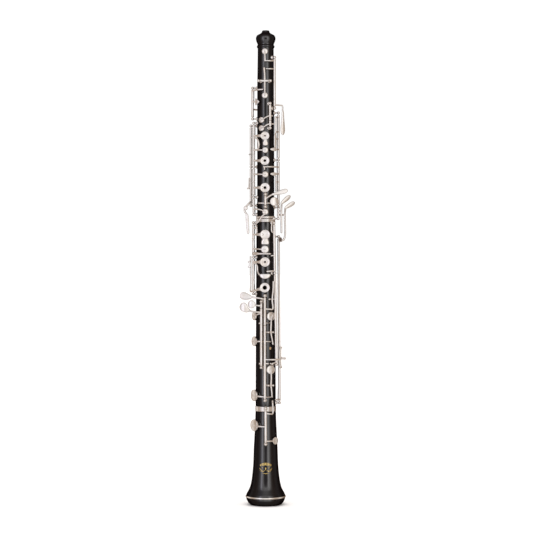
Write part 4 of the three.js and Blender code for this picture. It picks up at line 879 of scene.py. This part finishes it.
UPPER_TENON = [(10.3, 361.9), (10.3, UPPER_BOTTOM + 0.1), (10.2, UPPER_BOTTOM),
               (7.3, UPPER_BOTTOM), (7.2, 356.35), (6.2, 356.35), (6.2, 343.75), (7.2, 343.75),
               (7.1, 341.9), (6.8, 341.55)]
UPPER_BORE = [(4.6, 341.55), (2.3, 572), (3.9, 572.7), (3.9, 594.75)]
LOWER_SIDE = [(10.75, LOWER_TOP), (11, 358), (11, 353.95), (11.3, 353.95), (11.55, 353.7),
              (11.7, 340), (11.88, 310), (12.15, 262), (12.4, 200), (12.68, 135), (12.7, 124),
              (12.5, LOWER_BOTTOM)]
LOWER_TENON = [(9.3, LOWER_BOTTOM), (9.2, 121.4), (8.3, 121.4), (8.3, 107.8), (9.2, 107.8),
               (9.1, 106.1), (8.9, 105.6)]
LOWER_BORE = [(7.3, 105.6), (4.6, 340.2), (8.25, 340.2), (8.25, 357.9), (8.5, LOWER_TOP)]
BELL_SOCKET = [(11.75, BELL_TOP), (12, 123), (12, 116.7)]
BELL_SIDE = curve2(
    [(12.6, 116.7), (12.8, 116.2), (13.1, 108), (13.8, 93), (15, 70), (15.75, 50.3), (17, 36),
     (18.2, 28), (20.1, 20.8), (22.3, 16.4), (24.15, 12.9), (24.45, 11.9), (24.45, 11.35)])
BELL_EDGE = [(23.6, 11.3), (23.6, 8.7)] + curve2(
    [(24.35, 8.6), (24.1, 6.6), (23.2, 4.6), (21.9, 2.3), (20.4, 0.8), (18.4, 0)], 4) + [
    (16, 0), (15.55, 0.25)]
BELL_BORE = curve2(
    [(15.3, 1), (14.6, 5), (13.6, 11), (11.4, 26), (9.6, 48), (8.4, 76), (7.5, 104.25)], 4) + [
    (10.25, 104.25), (10.25, 123), (10.5, BELL_TOP)]


def chimneys_and_holes(body):
    """A raised seat under every cup on the body, and cutters for the tone holes."""
    adds, cuts = [], []
    for key in KEYS.values():
        if AXLES[key.axle].body != body:
            continue
        for cup in key.cups:
            x, y, z = cup.centre
            seat = math.hypot(x, y) - cup.gap - 0.55
            outer = cup.radius * 0.86
            place = placed((0, 0, z), (*cup.normal, 0), UP)
            adds.append(revolve(
                [(0, seat - 3.2), (outer + 0.5, seat - 3.2), (outer + 0.25, seat - 0.7),
                 (outer - 0.15, seat - 0.12), (outer - 0.5, seat), (0, seat)], 40, place))
            hole = min(cup.bore, outer - 1.1)
            cuts.append(revolve(
                [(0, 2.0), (hole * 0.8, 2.0), (hole, seat - 0.6), (hole + 0.35, seat - 0.15),
                 (hole + 0.4, seat + 1.0), (0, seat + 1.0)], 32, place))
    return adds, cuts


def wooden(name, body, profile):
    adds, cuts = chimneys_and_holes(body)
    piece(name, merge([revolve(profile, SEG)] + adds, cuts), WOOD, body, 32)


wooden("upper_joint_body", UPPER, CROWN + UPPER_SIDE + UPPER_TENON + UPPER_BORE)
wooden("lower_joint_body", LOWER, LOWER_SIDE + LOWER_TENON + LOWER_BORE)
wooden("bell_body", BELL, BELL_SOCKET + BELL_SIDE + BELL_EDGE + BELL_BORE)


def band(name, body, outer, inner, low, high, beads):
    """A metal ring with turned beads and shallow grooves between them."""
    profile = [(inner, low), (outer - 0.3, low), (outer - 0.08, low + 0.18)]
    height = high - low
    for i in range(beads):
        a, b = low + height * i / beads, low + height * (i + 1) / beads
        flank = 0.28 * (b - a)
        profile += [(outer - 0.34, a + 0.16), (outer - 0.06, a + flank), (outer, (a + b) / 2),
                    (outer - 0.06, b - flank), (outer - 0.34, b - 0.16)]
    profile += [(outer - 0.4, high), (inner, high)]
    piece(name, revolve(profile, SEG), TURNED, body, 40)


band("upper_tenon_ring", UPPER, 11.95, 10.62, UPPER_BOTTOM + 0.05, 361.55, 2)
band("lower_socket_ring", LOWER, 12.1, 11.32, 354.2, LOWER_TOP - 0.05, 2)
band("bell_socket_ring", BELL, 13.12, 12.32, 117.05, BELL_TOP - 0.05, 3)
RIM_RING = [(23.95, 9), (24.7, 9)] + curve2(
    [(24.9, 9.1), (25.18, 9.4), (25.3, 9.8), (25.3, 10.35), (25.18, 10.75), (24.95, 11),
     (24.6, 11.1)], 3) + [(23.95, 11.1)]
piece("bell_rim_ring", revolve(RIM_RING, SEG), TURNED, BELL, 40)
LINER = [(3.15, 573), (3.15, 594.7), (3.3, 594.9), (3.45, 594.9), (3.55, 594.7), (3.55, 573)]
piece("reed_well_liner", revolve(LINER, 64), BRASS, UPPER, 40)


def cork_band(name, body, outer, inner, low, high):
    profile = curve2([(inner, low), (outer - 0.45, low), (outer - 0.12, low + 0.6),
                      (outer, low + 1.4)], 2)
    for i in range(1, 9):
        z = low + 1.4 + (high - low - 2.4) * i / 9
        profile.append((outer - 0.05 - 0.06 * math.sin(i * 2.1) ** 2, z))
    profile += curve2([(outer, high - 0.8), (outer - 0.12, high - 0.3), (outer - 0.35, high),
                       (inner, high)], 2)
    piece(name, revolve(profile, 72), CORK, body, 50)


cork_band("upper_tenon_cork", UPPER, 7.9, 6.55, 344.05, 356.05)
cork_band("lower_tenon_cork", LOWER, 9.9, 8.65, 108.1, 121.1)


# ---- thumb rest ---------------------------------------------------------------------------------
REST_Z, REST_Y = 316.0, 12.3
REST_OUTLINE = [(-9, -3.4), (9, -3.4), (11, -1.6), (11, 1.6), (9, 3.4), (-9, 3.4), (-11, 1.6),
                (-11, -1.6)]
HOOK_WIDTH = 9
# side view of the hook: (distance in +Y, height)
HOOK_OUTLINE = [(0, -1), (0, 1), (2, 1.7), (5, 2), (8, 2.8), (10, 3.8), (11.6, 5.4), (13, 7.2),
                (14.2, 6.6), (13.2, 4.4), (11.4, 2.2), (9, 0.8), (6, 0.1), (3, -0.6)]
# height above REST_Z, radius, height of head, direction of slot
REST_SCREWS = [(-4.4, 1.5, 0.55, (1, 0, 0.35)), (7.6, 1.5, 0.55, (1, 0, 0.35)),
               (1.8, 1.9, 0.8, (1, 0, -0.5))]


def thumb_rest():
    adds = [slab((0, REST_Y, REST_Z), (0, 1, 0), UP, REST_OUTLINE, 1.6, crown=0.1),
            slab((-HOOK_WIDTH / 2, REST_Y + 0.8, REST_Z - 8.5), (1, 0, 0), (0, 1, 0),
                 HOOK_OUTLINE, HOOK_WIDTH, crown=0.0, turn=False)]
    cuts = []
    for rise, radius, head, along in REST_SCREWS:
        screw, slot = slotted((0, REST_Y + 1.55, REST_Z + rise), (0, 1, 0), radius, head, 2.4,
                              along)
        adds.append(screw)
        cuts.append(slot)
    piece("thumb_rest", merge(adds, cuts), SILVER, LOWER, 35)


thumb_rest()


# ---- rods and posts -----------------------------------------------------------------------------
def direction(axle):
    return (Vector(axle.end) - Vector(axle.start)).normalized()


def on_rod(axle, distance):
    return Vector(axle.start) + direction(axle) * distance


def from_bore(point):
    """Distance of a point from the bore's axis, and the direction of that distance."""
    reach = math.hypot(point.x, point.y)
    return reach, Vector((point.x / reach, point.y / reach, 0))


def post(point, foot, ball_radius):
    reach, out = from_bore(point)
    height = reach - foot
    k = min(1.0, height / 4.6)          # squeezes the mouldings of a short post
    w = ball_radius / BALL_RADIUS
    profile = [(0, -0.5), (2.1 * w, -0.5)] + curve2(
        [(2.2 * w, -0.25), (2.38 * w, 0.15 * k), (2.3 * w, 0.65 * k), (1.95 * w, 1.1 * k),
         (1.4 * w, 1.45 * k), (1.08 * w, 1.95 * k), (0.98 * w, 2.5 * k)], 3)
    if height > 4.3:
        profile += curve2([(0.98 * w, height - 1.75 * w), (1.16 * w, height - 1.5 * w),
                           (1.2 * w, height - 0.8 * w)], 2)
    else:
        profile.append((1.05 * w, height - 0.9 * w))
    profile += [(1.0 * w, height), (0, height)]
    return revolve(profile, 28, placed(out * foot + Vector((0, 0, point.z)), out, UP))


def axle_piece(name, axle):
    along, radius = direction(axle), axle.ball
    overhang = along * (radius * 0.55)
    adds = [rod(Vector(axle.start) - overhang, Vector(axle.end) + overhang, 0.8, 20)]
    cuts, screws, slots = [], [], []
    last = len(axle.posts) - 1
    for i, (distance, foot) in enumerate(axle.posts):
        point = on_rod(axle, distance)
        adds += [post(point, foot, radius), ball(point, radius, along, 28, 16)]
        if 0 < i < last:
            continue
        # flat turned outer face with the slotted end of the pivot screw
        sign = 1 if i else -1
        face = point + along * (sign * radius * 0.80)
        cuts.append(rod(face, face + along * (sign * 2.0), radius * 1.2, 24))
        screw, slot = slotted(face - along * (sign * 0.3), along * sign, radius * 0.46, 0.55, 0.6,
                              (0.9, 0.1 * i + 0.3, 0.2 - 0.4 * i), 20)
        screws.append(screw)
        slots.append(slot)
    mesh = merge([merge(adds, cuts)] + screws, slots)
    piece(name, mesh, TURNED, axle.body, 35)


for name, axle in AXLES.items():
    axle_piece(name, axle)


# ---- keys ---------------------------------------------------------------------------------------
TUBE_RADIUS, TUBE_BORE, COLLAR_RADIUS = 1.58, 1.02, 1.78
CUP_WALL = 0.55
TEARDROP_RADII = [1.2, 1.2, 1.35, 1.75, 2.7]


def cup_place(cup):
    return placed(cup.centre, (*cup.normal, 0), UP)


def cup_mesh(cup):
    r, h, hole = cup.radius, cup.height, cup.hole
    if cup.dished:
        profile = curve2([(r - 0.12, 0), (r, 0.25), (r + 0.02, h * 0.55), (r - 0.12, h * 0.86),
                          (r - 0.42, h), (r * 0.84, h * 0.97), (r * 0.70, h * 0.84),
                          (r * 0.45, h * 0.74)], 3)
        if hole:
            profile += [(hole + 0.75, h * 0.72), (hole + 0.62, h * 0.84), (hole + 0.3, h * 0.88),
                        (hole + 0.05, h * 0.80), (hole, h * 0.6)]
        else:
            profile += [(r * 0.2, h * 0.70), (0, h * 0.69)]
    else:
        profile = curve2([(r - 0.1, 0), (r, 0.22), (r + 0.02, h * 0.42), (r - 0.1, h * 0.62),
                          (r * 0.88, h * 0.76), (r * 0.72, h * 0.88), (r * 0.48, h * 0.97),
                          (r * 0.26, h)], 3)
        profile += [(r * 0.22, h), (r * 0.18, h * 0.93), (0, h * 0.90)]
    profile += [(hole, 0.62), (r - CUP_WALL, 0.62), (r - CUP_WALL, 0)]
    return revolve(profile, 44, cup_place(cup))


def pad_mesh(cup, bulge):
    r, hole = cup.radius - 0.62, cup.hole
    profile = curve2([(r, 0.55), (r, 0), (r - 0.08, -0.26 * bulge), (r - 0.35, -0.38 * bulge)], 2)
    if hole:
        profile += [(hole + 0.5, -0.38 * bulge), (hole + 0.12, -0.2 * bulge),
                    (hole + 0.05, 0.55)]
    else:
        profile = [(0, 0.55)] + profile + [(r * 0.6, -0.34 * bulge), (0, -0.33 * bulge)]
    return revolve(profile, 40, cup_place(cup))


def arm_mesh(stations):
    points = [station[:3] for station in stations]
    if len(stations[0]) == 3:
        return sweep(points, TEARDROP_RADII, 16, 6, (0.95, 0.5))
    return sweep(points, [station[3] * 0.98 for station in stations])


def touch_mesh(touch):
    reach = min(max(abs(p[axis]) for p in touch.outline) for axis in (0, 1))
    return slab(touch.centre, (*touch.normal, 0), touch.along, touch.outline, touch.height,
                crown=0.3 if reach > 2 else 0.1, bend=0.022 if reach > 1.2 else 0.0)


def key_piece(name, key):
    axle, (low, high) = AXLES[key.axle], key.tube

    def tube(start, end, radius, seg, chamfer=0.0):
        return rod(on_rod(axle, start), on_rod(axle, end), radius, seg, chamfer)

    adds = [tube(low, high, TUBE_RADIUS, 24, 0.12)]
    if high - low > 9:                  # long tubes have a turned collar near each end
        adds += [tube(low + 0.25, low + 1.35, COLLAR_RADIUS, 24, 0.2),
                 tube(high - 1.35, high - 0.25, COLLAR_RADIUS, 24, 0.2)]
    cuts = [tube(low - 1.0, high + 1.0, TUBE_BORE, 20)]
    adds += [arm_mesh(arm) for arm in key.arms]
    for cup in key.cups:
        adds.append(cup_mesh(cup))
        if cup.hole:
            cuts.append(cylinder(cup.hole, -2, 9, 28, cup_place(cup)))
        # clears the arms out of the pad's recess
        cuts.append(cylinder(cup.radius - CUP_WALL, -2, 0.61, 44, cup_place(cup)))
    adds += [touch_mesh(touch) for touch in key.plates]
    mesh = merge(adds, cuts)
    screws = []
    for seat in SCREWS.get(name, []):
        seat = Vector(seat)
        out = Vector((seat.x, seat.y, 0)).normalized()
        screws.append(slotted(seat - out * 0.35, out, 0.95, 0.75, 0.7, (0.5, 0.2, 1.0), 18))
    if screws:
        mesh = merge([mesh] + [screw for screw, _ in screws], [slot for _, slot in screws])
    piece(name, mesh, SILVER, name, 35)
    if key.cups:
        bulge = 0.4 if name == "c_sharp_cup_lever" else 1.0     # that pad closes flat on its seat
        piece(name.replace("_key", "").replace("_lever", "") + "_pads",
              join([pad_mesh(cup, bulge) for cup in key.cups]), PAD, name, 40,
              replaces=False)


for name, key in KEYS.items():
    key_piece(name, key)


# ---- needle springs: blued wires through the post stems, resting under the tubes ----------------
def spring(key):
    """The wire under a key's tube, or None where there is no room for one."""
    axle, (low, high) = AXLES[key.axle], key.tube
    if high - low < 9:
        return None
    near, foot = min(axle.posts, key=lambda p: min(abs(p[0] - low), abs(p[0] - high)))
    along = direction(axle)
    sign = 1 if near <= (low + high) / 2 else -1
    point = on_rod(axle, near)
    reach, out = from_bore(point)
    drop = min(2.9, (reach - foot) * 0.55)
    if drop < 2.1:
        return None
    length = min(17.0, (high - low) * 0.7 + 2.0)
    start = point - out * drop - along * (sign * 1.9)
    end = point - out * (drop - 0.55) + along * (sign * length)
    return sweep([start, start.lerp(end, 0.5), end], [0.27, 0.22, 0.13], 8, 3)


springs = {}
for key in KEYS.values():
    wire = spring(key)
    if wire:
        springs.setdefault(AXLES[key.axle].body, []).append(wire)
for body, wires in springs.items():
    piece("needle_springs_" + body, join(wires), BLUED, body, 60, replaces=False)


# ---- gold ornament on the front of the bell -----------------------------------------------------
# A lozenge between leaf sprays, under an arc of beads. Points are (distance round the bell,
# height above ORNAMENT_Z).
ORNAMENT_Z = 46.5
RIBBON_SECTION = [(-1, -0.35), (-1, 0.06), (0, 0.10), (1, 0.06), (1, -0.35)]    # side, lift
# root along, root height, angle in degrees
LEAVES = [(3.0, -3.1, -62), (4.9, -3.1, -30), (6.5, -1.7, 5), (7.2, -0.4, 40), (4.0, -3.0, 75),
          (5.8, -2.3, 95)]


def on_bell(s, z, lift):
    z += ORNAMENT_Z
    radius = next(r0 + (r1 - r0) * (z0 - z) / (z0 - z1)
                  for (r0, z0), (r1, z1) in zip(BELL_SIDE, BELL_SIDE[1:]) if z1 <= z <= z0)
    a = -math.pi / 2 + s / radius
    return Vector(((radius + lift) * math.cos(a), (radius + lift) * math.sin(a), z))


def ribbon(line, widths):
    """A raised strip on the bell's surface along the line."""
    last, sides = len(line) - 1, len(RIBBON_SECTION)
    verts = []
    for i, (s, z) in enumerate(line):
        ahead = (Vector(line[min(i + 1, last)]) - Vector(line[max(i - 1, 0)])).normalized()
        half = sample(widths, i, last) / 2
        for side, lift in RIBBON_SECTION:
            verts.append(on_bell(s - ahead.y * side * half, z + ahead.x * side * half, lift))
    faces = quads(last + 1, sides)
    faces += [tuple(range(sides)), tuple(last * sides + k for k in reversed(range(sides)))]
    return to_mesh(verts, faces)


def ornament():
    gold = []
    for i in range(9):
        s = -6.6 + 1.65 * i
        z = 5.6 - 0.034 * s * s
        h, w = (0.8, 0.9) if i % 2 else (1.15, 1.25)
        gold.append(ribbon([(s, z - h), (s, z - h * 0.3), (s, z + h * 0.3), (s, z + h)],
                           [0.12, w, w, 0.12]))
    for top, half in ((6.9, 7.0), (4.3, 6.6)):          # lines over and under the beads
        gold.append(ribbon(curve2([(-half, top - 1.6), (-half / 2, top - 0.4), (0, top),
                                   (half / 2, top - 0.4), (half, top - 1.6)]),
                           [0.12, 0.32, 0.36, 0.32, 0.12]))
    for side in (-1, 1):
        gold.append(ribbon(curve2([(side * 1.4, -2.2), (side * 3.8, -3.4), (side * 6.2, -2.2),
                                   (side * 7.5, 0.8)], 6), [0.42, 0.30, 0.26, 0.12]))
        for s, z, angle in LEAVES:
            ds, dz = math.cos(math.radians(angle)), math.sin(math.radians(angle))
            gold.append(ribbon([(side * (s + ds * f), z + dz * f) for f in (0.0, 0.5, 1.0, 1.5)],
                               [0.12, 0.52, 0.42, 0.08]))
        gold.append(ribbon([(side * 3.1, 0.4), (side * 4.0, 1.0), (side * 4.9, 1.7)],
                           [0.1, 0.5, 0.1]))
    gold.append(ribbon([(0, -1.9), (0, -0.1), (0, 1.7)], [0.10, 1.3, 0.10]))
    gold.append(ribbon(curve2([(-4.6, -5.3), (-2.4, -6.0), (0, -6.2), (2.4, -6.0), (4.6, -5.3)]),
                       [0.12, 0.36, 0.44, 0.36, 0.12]))
    piece("bell_ornament", join(gold), GOLD, BELL, 50, replaces=False)


ornament()


# ---- bumpers where a key would knock against metal or wood --------------------------------------
def bumper(name, centre, normal, along, half_x, half_y, height, body, material):
    outline = [(-half_x, -half_y), (half_x, -half_y), (half_x, half_y), (-half_x, half_y)]
    mesh = slab(centre, normal, along, outline, height, crown=0.15, turn=False)
    piece(name, mesh, material, body, replaces=False)


BUMPER_X = 5.6
BUMPER_Y = -math.sqrt(12.15 ** 2 - BUMPER_X ** 2)       # on the joint's surface
bumper("lower_joint_bumper", (BUMPER_X, BUMPER_Y, 196.3), (BUMPER_X, BUMPER_Y, 0), (0.15, 0, 1),
       1.6, 1.3, 0.9, LOWER, CORK)
bumper("left_b_flat_touch_bumper", (18.4, -9.9, 332.4), (0.2, -1, 0), UP, 2.7, 1.7, 1.4,
       "left_b_flat_touch", LEATHER)


# ---- floor, light and camera (metres) -----------------------------------------------------------
def add_floor():
    s = Surface("pale_floor")
    colour = s.mix(s.noise(scale=6.0), (0.86, 0.86, 0.86), (0.84, 0.84, 0.842))
    s.finish({"Base Color": colour, "Roughness": 0.9, "Specular IOR Level": 0.0})
    bm = bmesh.new()
    bmesh.ops.create_circle(bm, cap_ends=True, segments=96, radius=60.0)
    mesh = bpy.data.meshes.new("floor")
    bm.to_mesh(mesh)
    bm.free()
    mesh.materials.append(s.material)
    floor = bpy.data.objects.new("floor", mesh)
    floor.location = (0, 0, CAD_BOX[0][2] - 0.0003)
    SCENE.collection.objects.link(floor)
    floor.visible_glossy = False


# A broad soft light on the camera's side, brighter strips to either side of it and a dim warm
# room beyond. Columns: azimuth from the camera in degrees, brightness, colour.
STUDIO = [
    (-180, 0.20, (1, 0.81, 0.68)), (-150, 0.22, (1, 0.81, 0.70)), (-138, 0.66, (1, 0.95, 0.91)),
    (-128, 0.88, (1, 0.97, 0.95)), (-112, 0.92, (1, 0.96, 0.94)), (-102, 0.50, (1, 0.86, 0.74)),
    (-90, 0.36, (1, 0.77, 0.61)), (-66, 0.42, (1, 0.89, 0.84)), (-58, 0.72, (0.97, 0.94, 0.98)),
    (-46, 0.88, (0.96, 0.94, 0.99)), (-40, 0.88, (0.95, 0.93, 1)), (-37, 1.75, (0.91, 0.90, 1)),
    (-30, 1.75, (0.91, 0.90, 1)), (-26, 0.76, (0.98, 0.96, 1)), (-14, 0.78, (1, 0.98, 0.97)),
    (-8, 1.06, (0.985, 0.97, 0.985)), (7, 1.06, (0.985, 0.97, 0.985)),
    (13, 0.90, (1, 0.985, 0.98)), (16, 0.88, (1, 0.985, 0.985)), (19, 1.5, (1, 0.985, 0.985)),
    (27, 1.5, (1, 0.985, 0.985)), (31, 0.95, (1, 0.98, 0.97)), (40, 0.80, (1, 0.97, 0.95)),
    (50, 0.44, (1, 0.86, 0.74)), (66, 0.34, (1, 0.77, 0.60)), (80, 0.50, (1, 0.86, 0.75)),
    (90, 0.72, (1, 0.95, 0.91)), (104, 0.66, (1, 0.95, 0.91)), (116, 0.22, (1, 0.79, 0.65)),
    (180, 0.20, (1, 0.81, 0.68))]
RAMP_SCALE = 6.0        # keeps the brightness stored in the ramp under 1
POLE_LEVEL = 0.55       # brightness overhead and underfoot
BACKDROP_LEVEL = 1.05   # brightness of the plain white the camera sees


def add_world():
    """The studio; it turns with the camera, so the strips keep their place at every view."""
    world = bpy.data.worlds.new("studio")
    SCENE.world = world
    world.use_nodes = True
    g = Graph(world.node_tree)
    for node in list(g.tree.nodes):
        g.tree.nodes.remove(node)
    where = g.new("ShaderNodeTexCoord").outputs["Generated"]
    turn = g.new("ShaderNodeVectorTransform", {0: where}, vector_type="VECTOR",
                 convert_from="WORLD", convert_to="CAMERA")
    axes = g.new("ShaderNodeSeparateXYZ", {0: turn.outputs[0]}).outputs
    azimuth = g.math("ARCTAN2", axes["X"], g.math("MULTIPLY", axes["Z"], -1.0))
    share = g.math("MULTIPLY_ADD", azimuth, 1 / (2 * math.pi), 0.5)
    bright = g.ramp(share, [((a + 180) / 360, level / RAMP_SCALE) for a, level, _ in STUDIO])
    hue = g.ramp(share, [((a + 180) / 360, colour) for a, _, colour in STUDIO])
    level = g.math("MULTIPLY", bright, RAMP_SCALE)
    pole = g.new("ShaderNodeMapRange", {"Value": g.math("ABSOLUTE", axes["Y"]),
                                        "From Min": 0.32, "From Max": 0.74})
    strength = g.new("ShaderNodeMix", {0: pole.outputs["Result"], 2: level, 3: POLE_LEVEL},
                     data_type="FLOAT")
    path = g.new("ShaderNodeLightPath")
    room = g.new("ShaderNodeBackground", {"Color": hue, "Strength": strength.outputs[0]})
    clear = g.new("ShaderNodeBackground", {"Color": (1, 1, 1, 1), "Strength": BACKDROP_LEVEL})
    pick = g.new("ShaderNodeMixShader", {0: path.outputs["Is Camera Ray"], 1: room.outputs[0],
                                         2: clear.outputs[0]})
    g.new("ShaderNodeOutputWorld", {"Surface": pick.outputs[0]})


def add_overhead():
    light = bpy.data.lights.new("overhead", "SUN")
    light.energy = 2.8
    light.angle = math.radians(100)
    lamp = bpy.data.objects.new("overhead", light)
    lamp.location = (0, 0, 3)
    lamp.visible_glossy = False
    SCENE.collection.objects.link(lamp)


def add_camera():
    lens = bpy.data.cameras.new("camera")
    lens.sensor_width = 36.0
    lens.lens = 110.8
    lens.clip_end = 200.0
    camera = bpy.data.objects.new("camera", lens)
    camera.location = (0.001, -2.062, 0.2986)
    camera.rotation_euler = (math.pi / 2, 0, 0)
    SCENE.collection.objects.link(camera)
    SCENE.camera = camera


add_floor()
add_world()
add_overhead()
add_camera()
SCENE.view_settings.view_transform = "Standard"
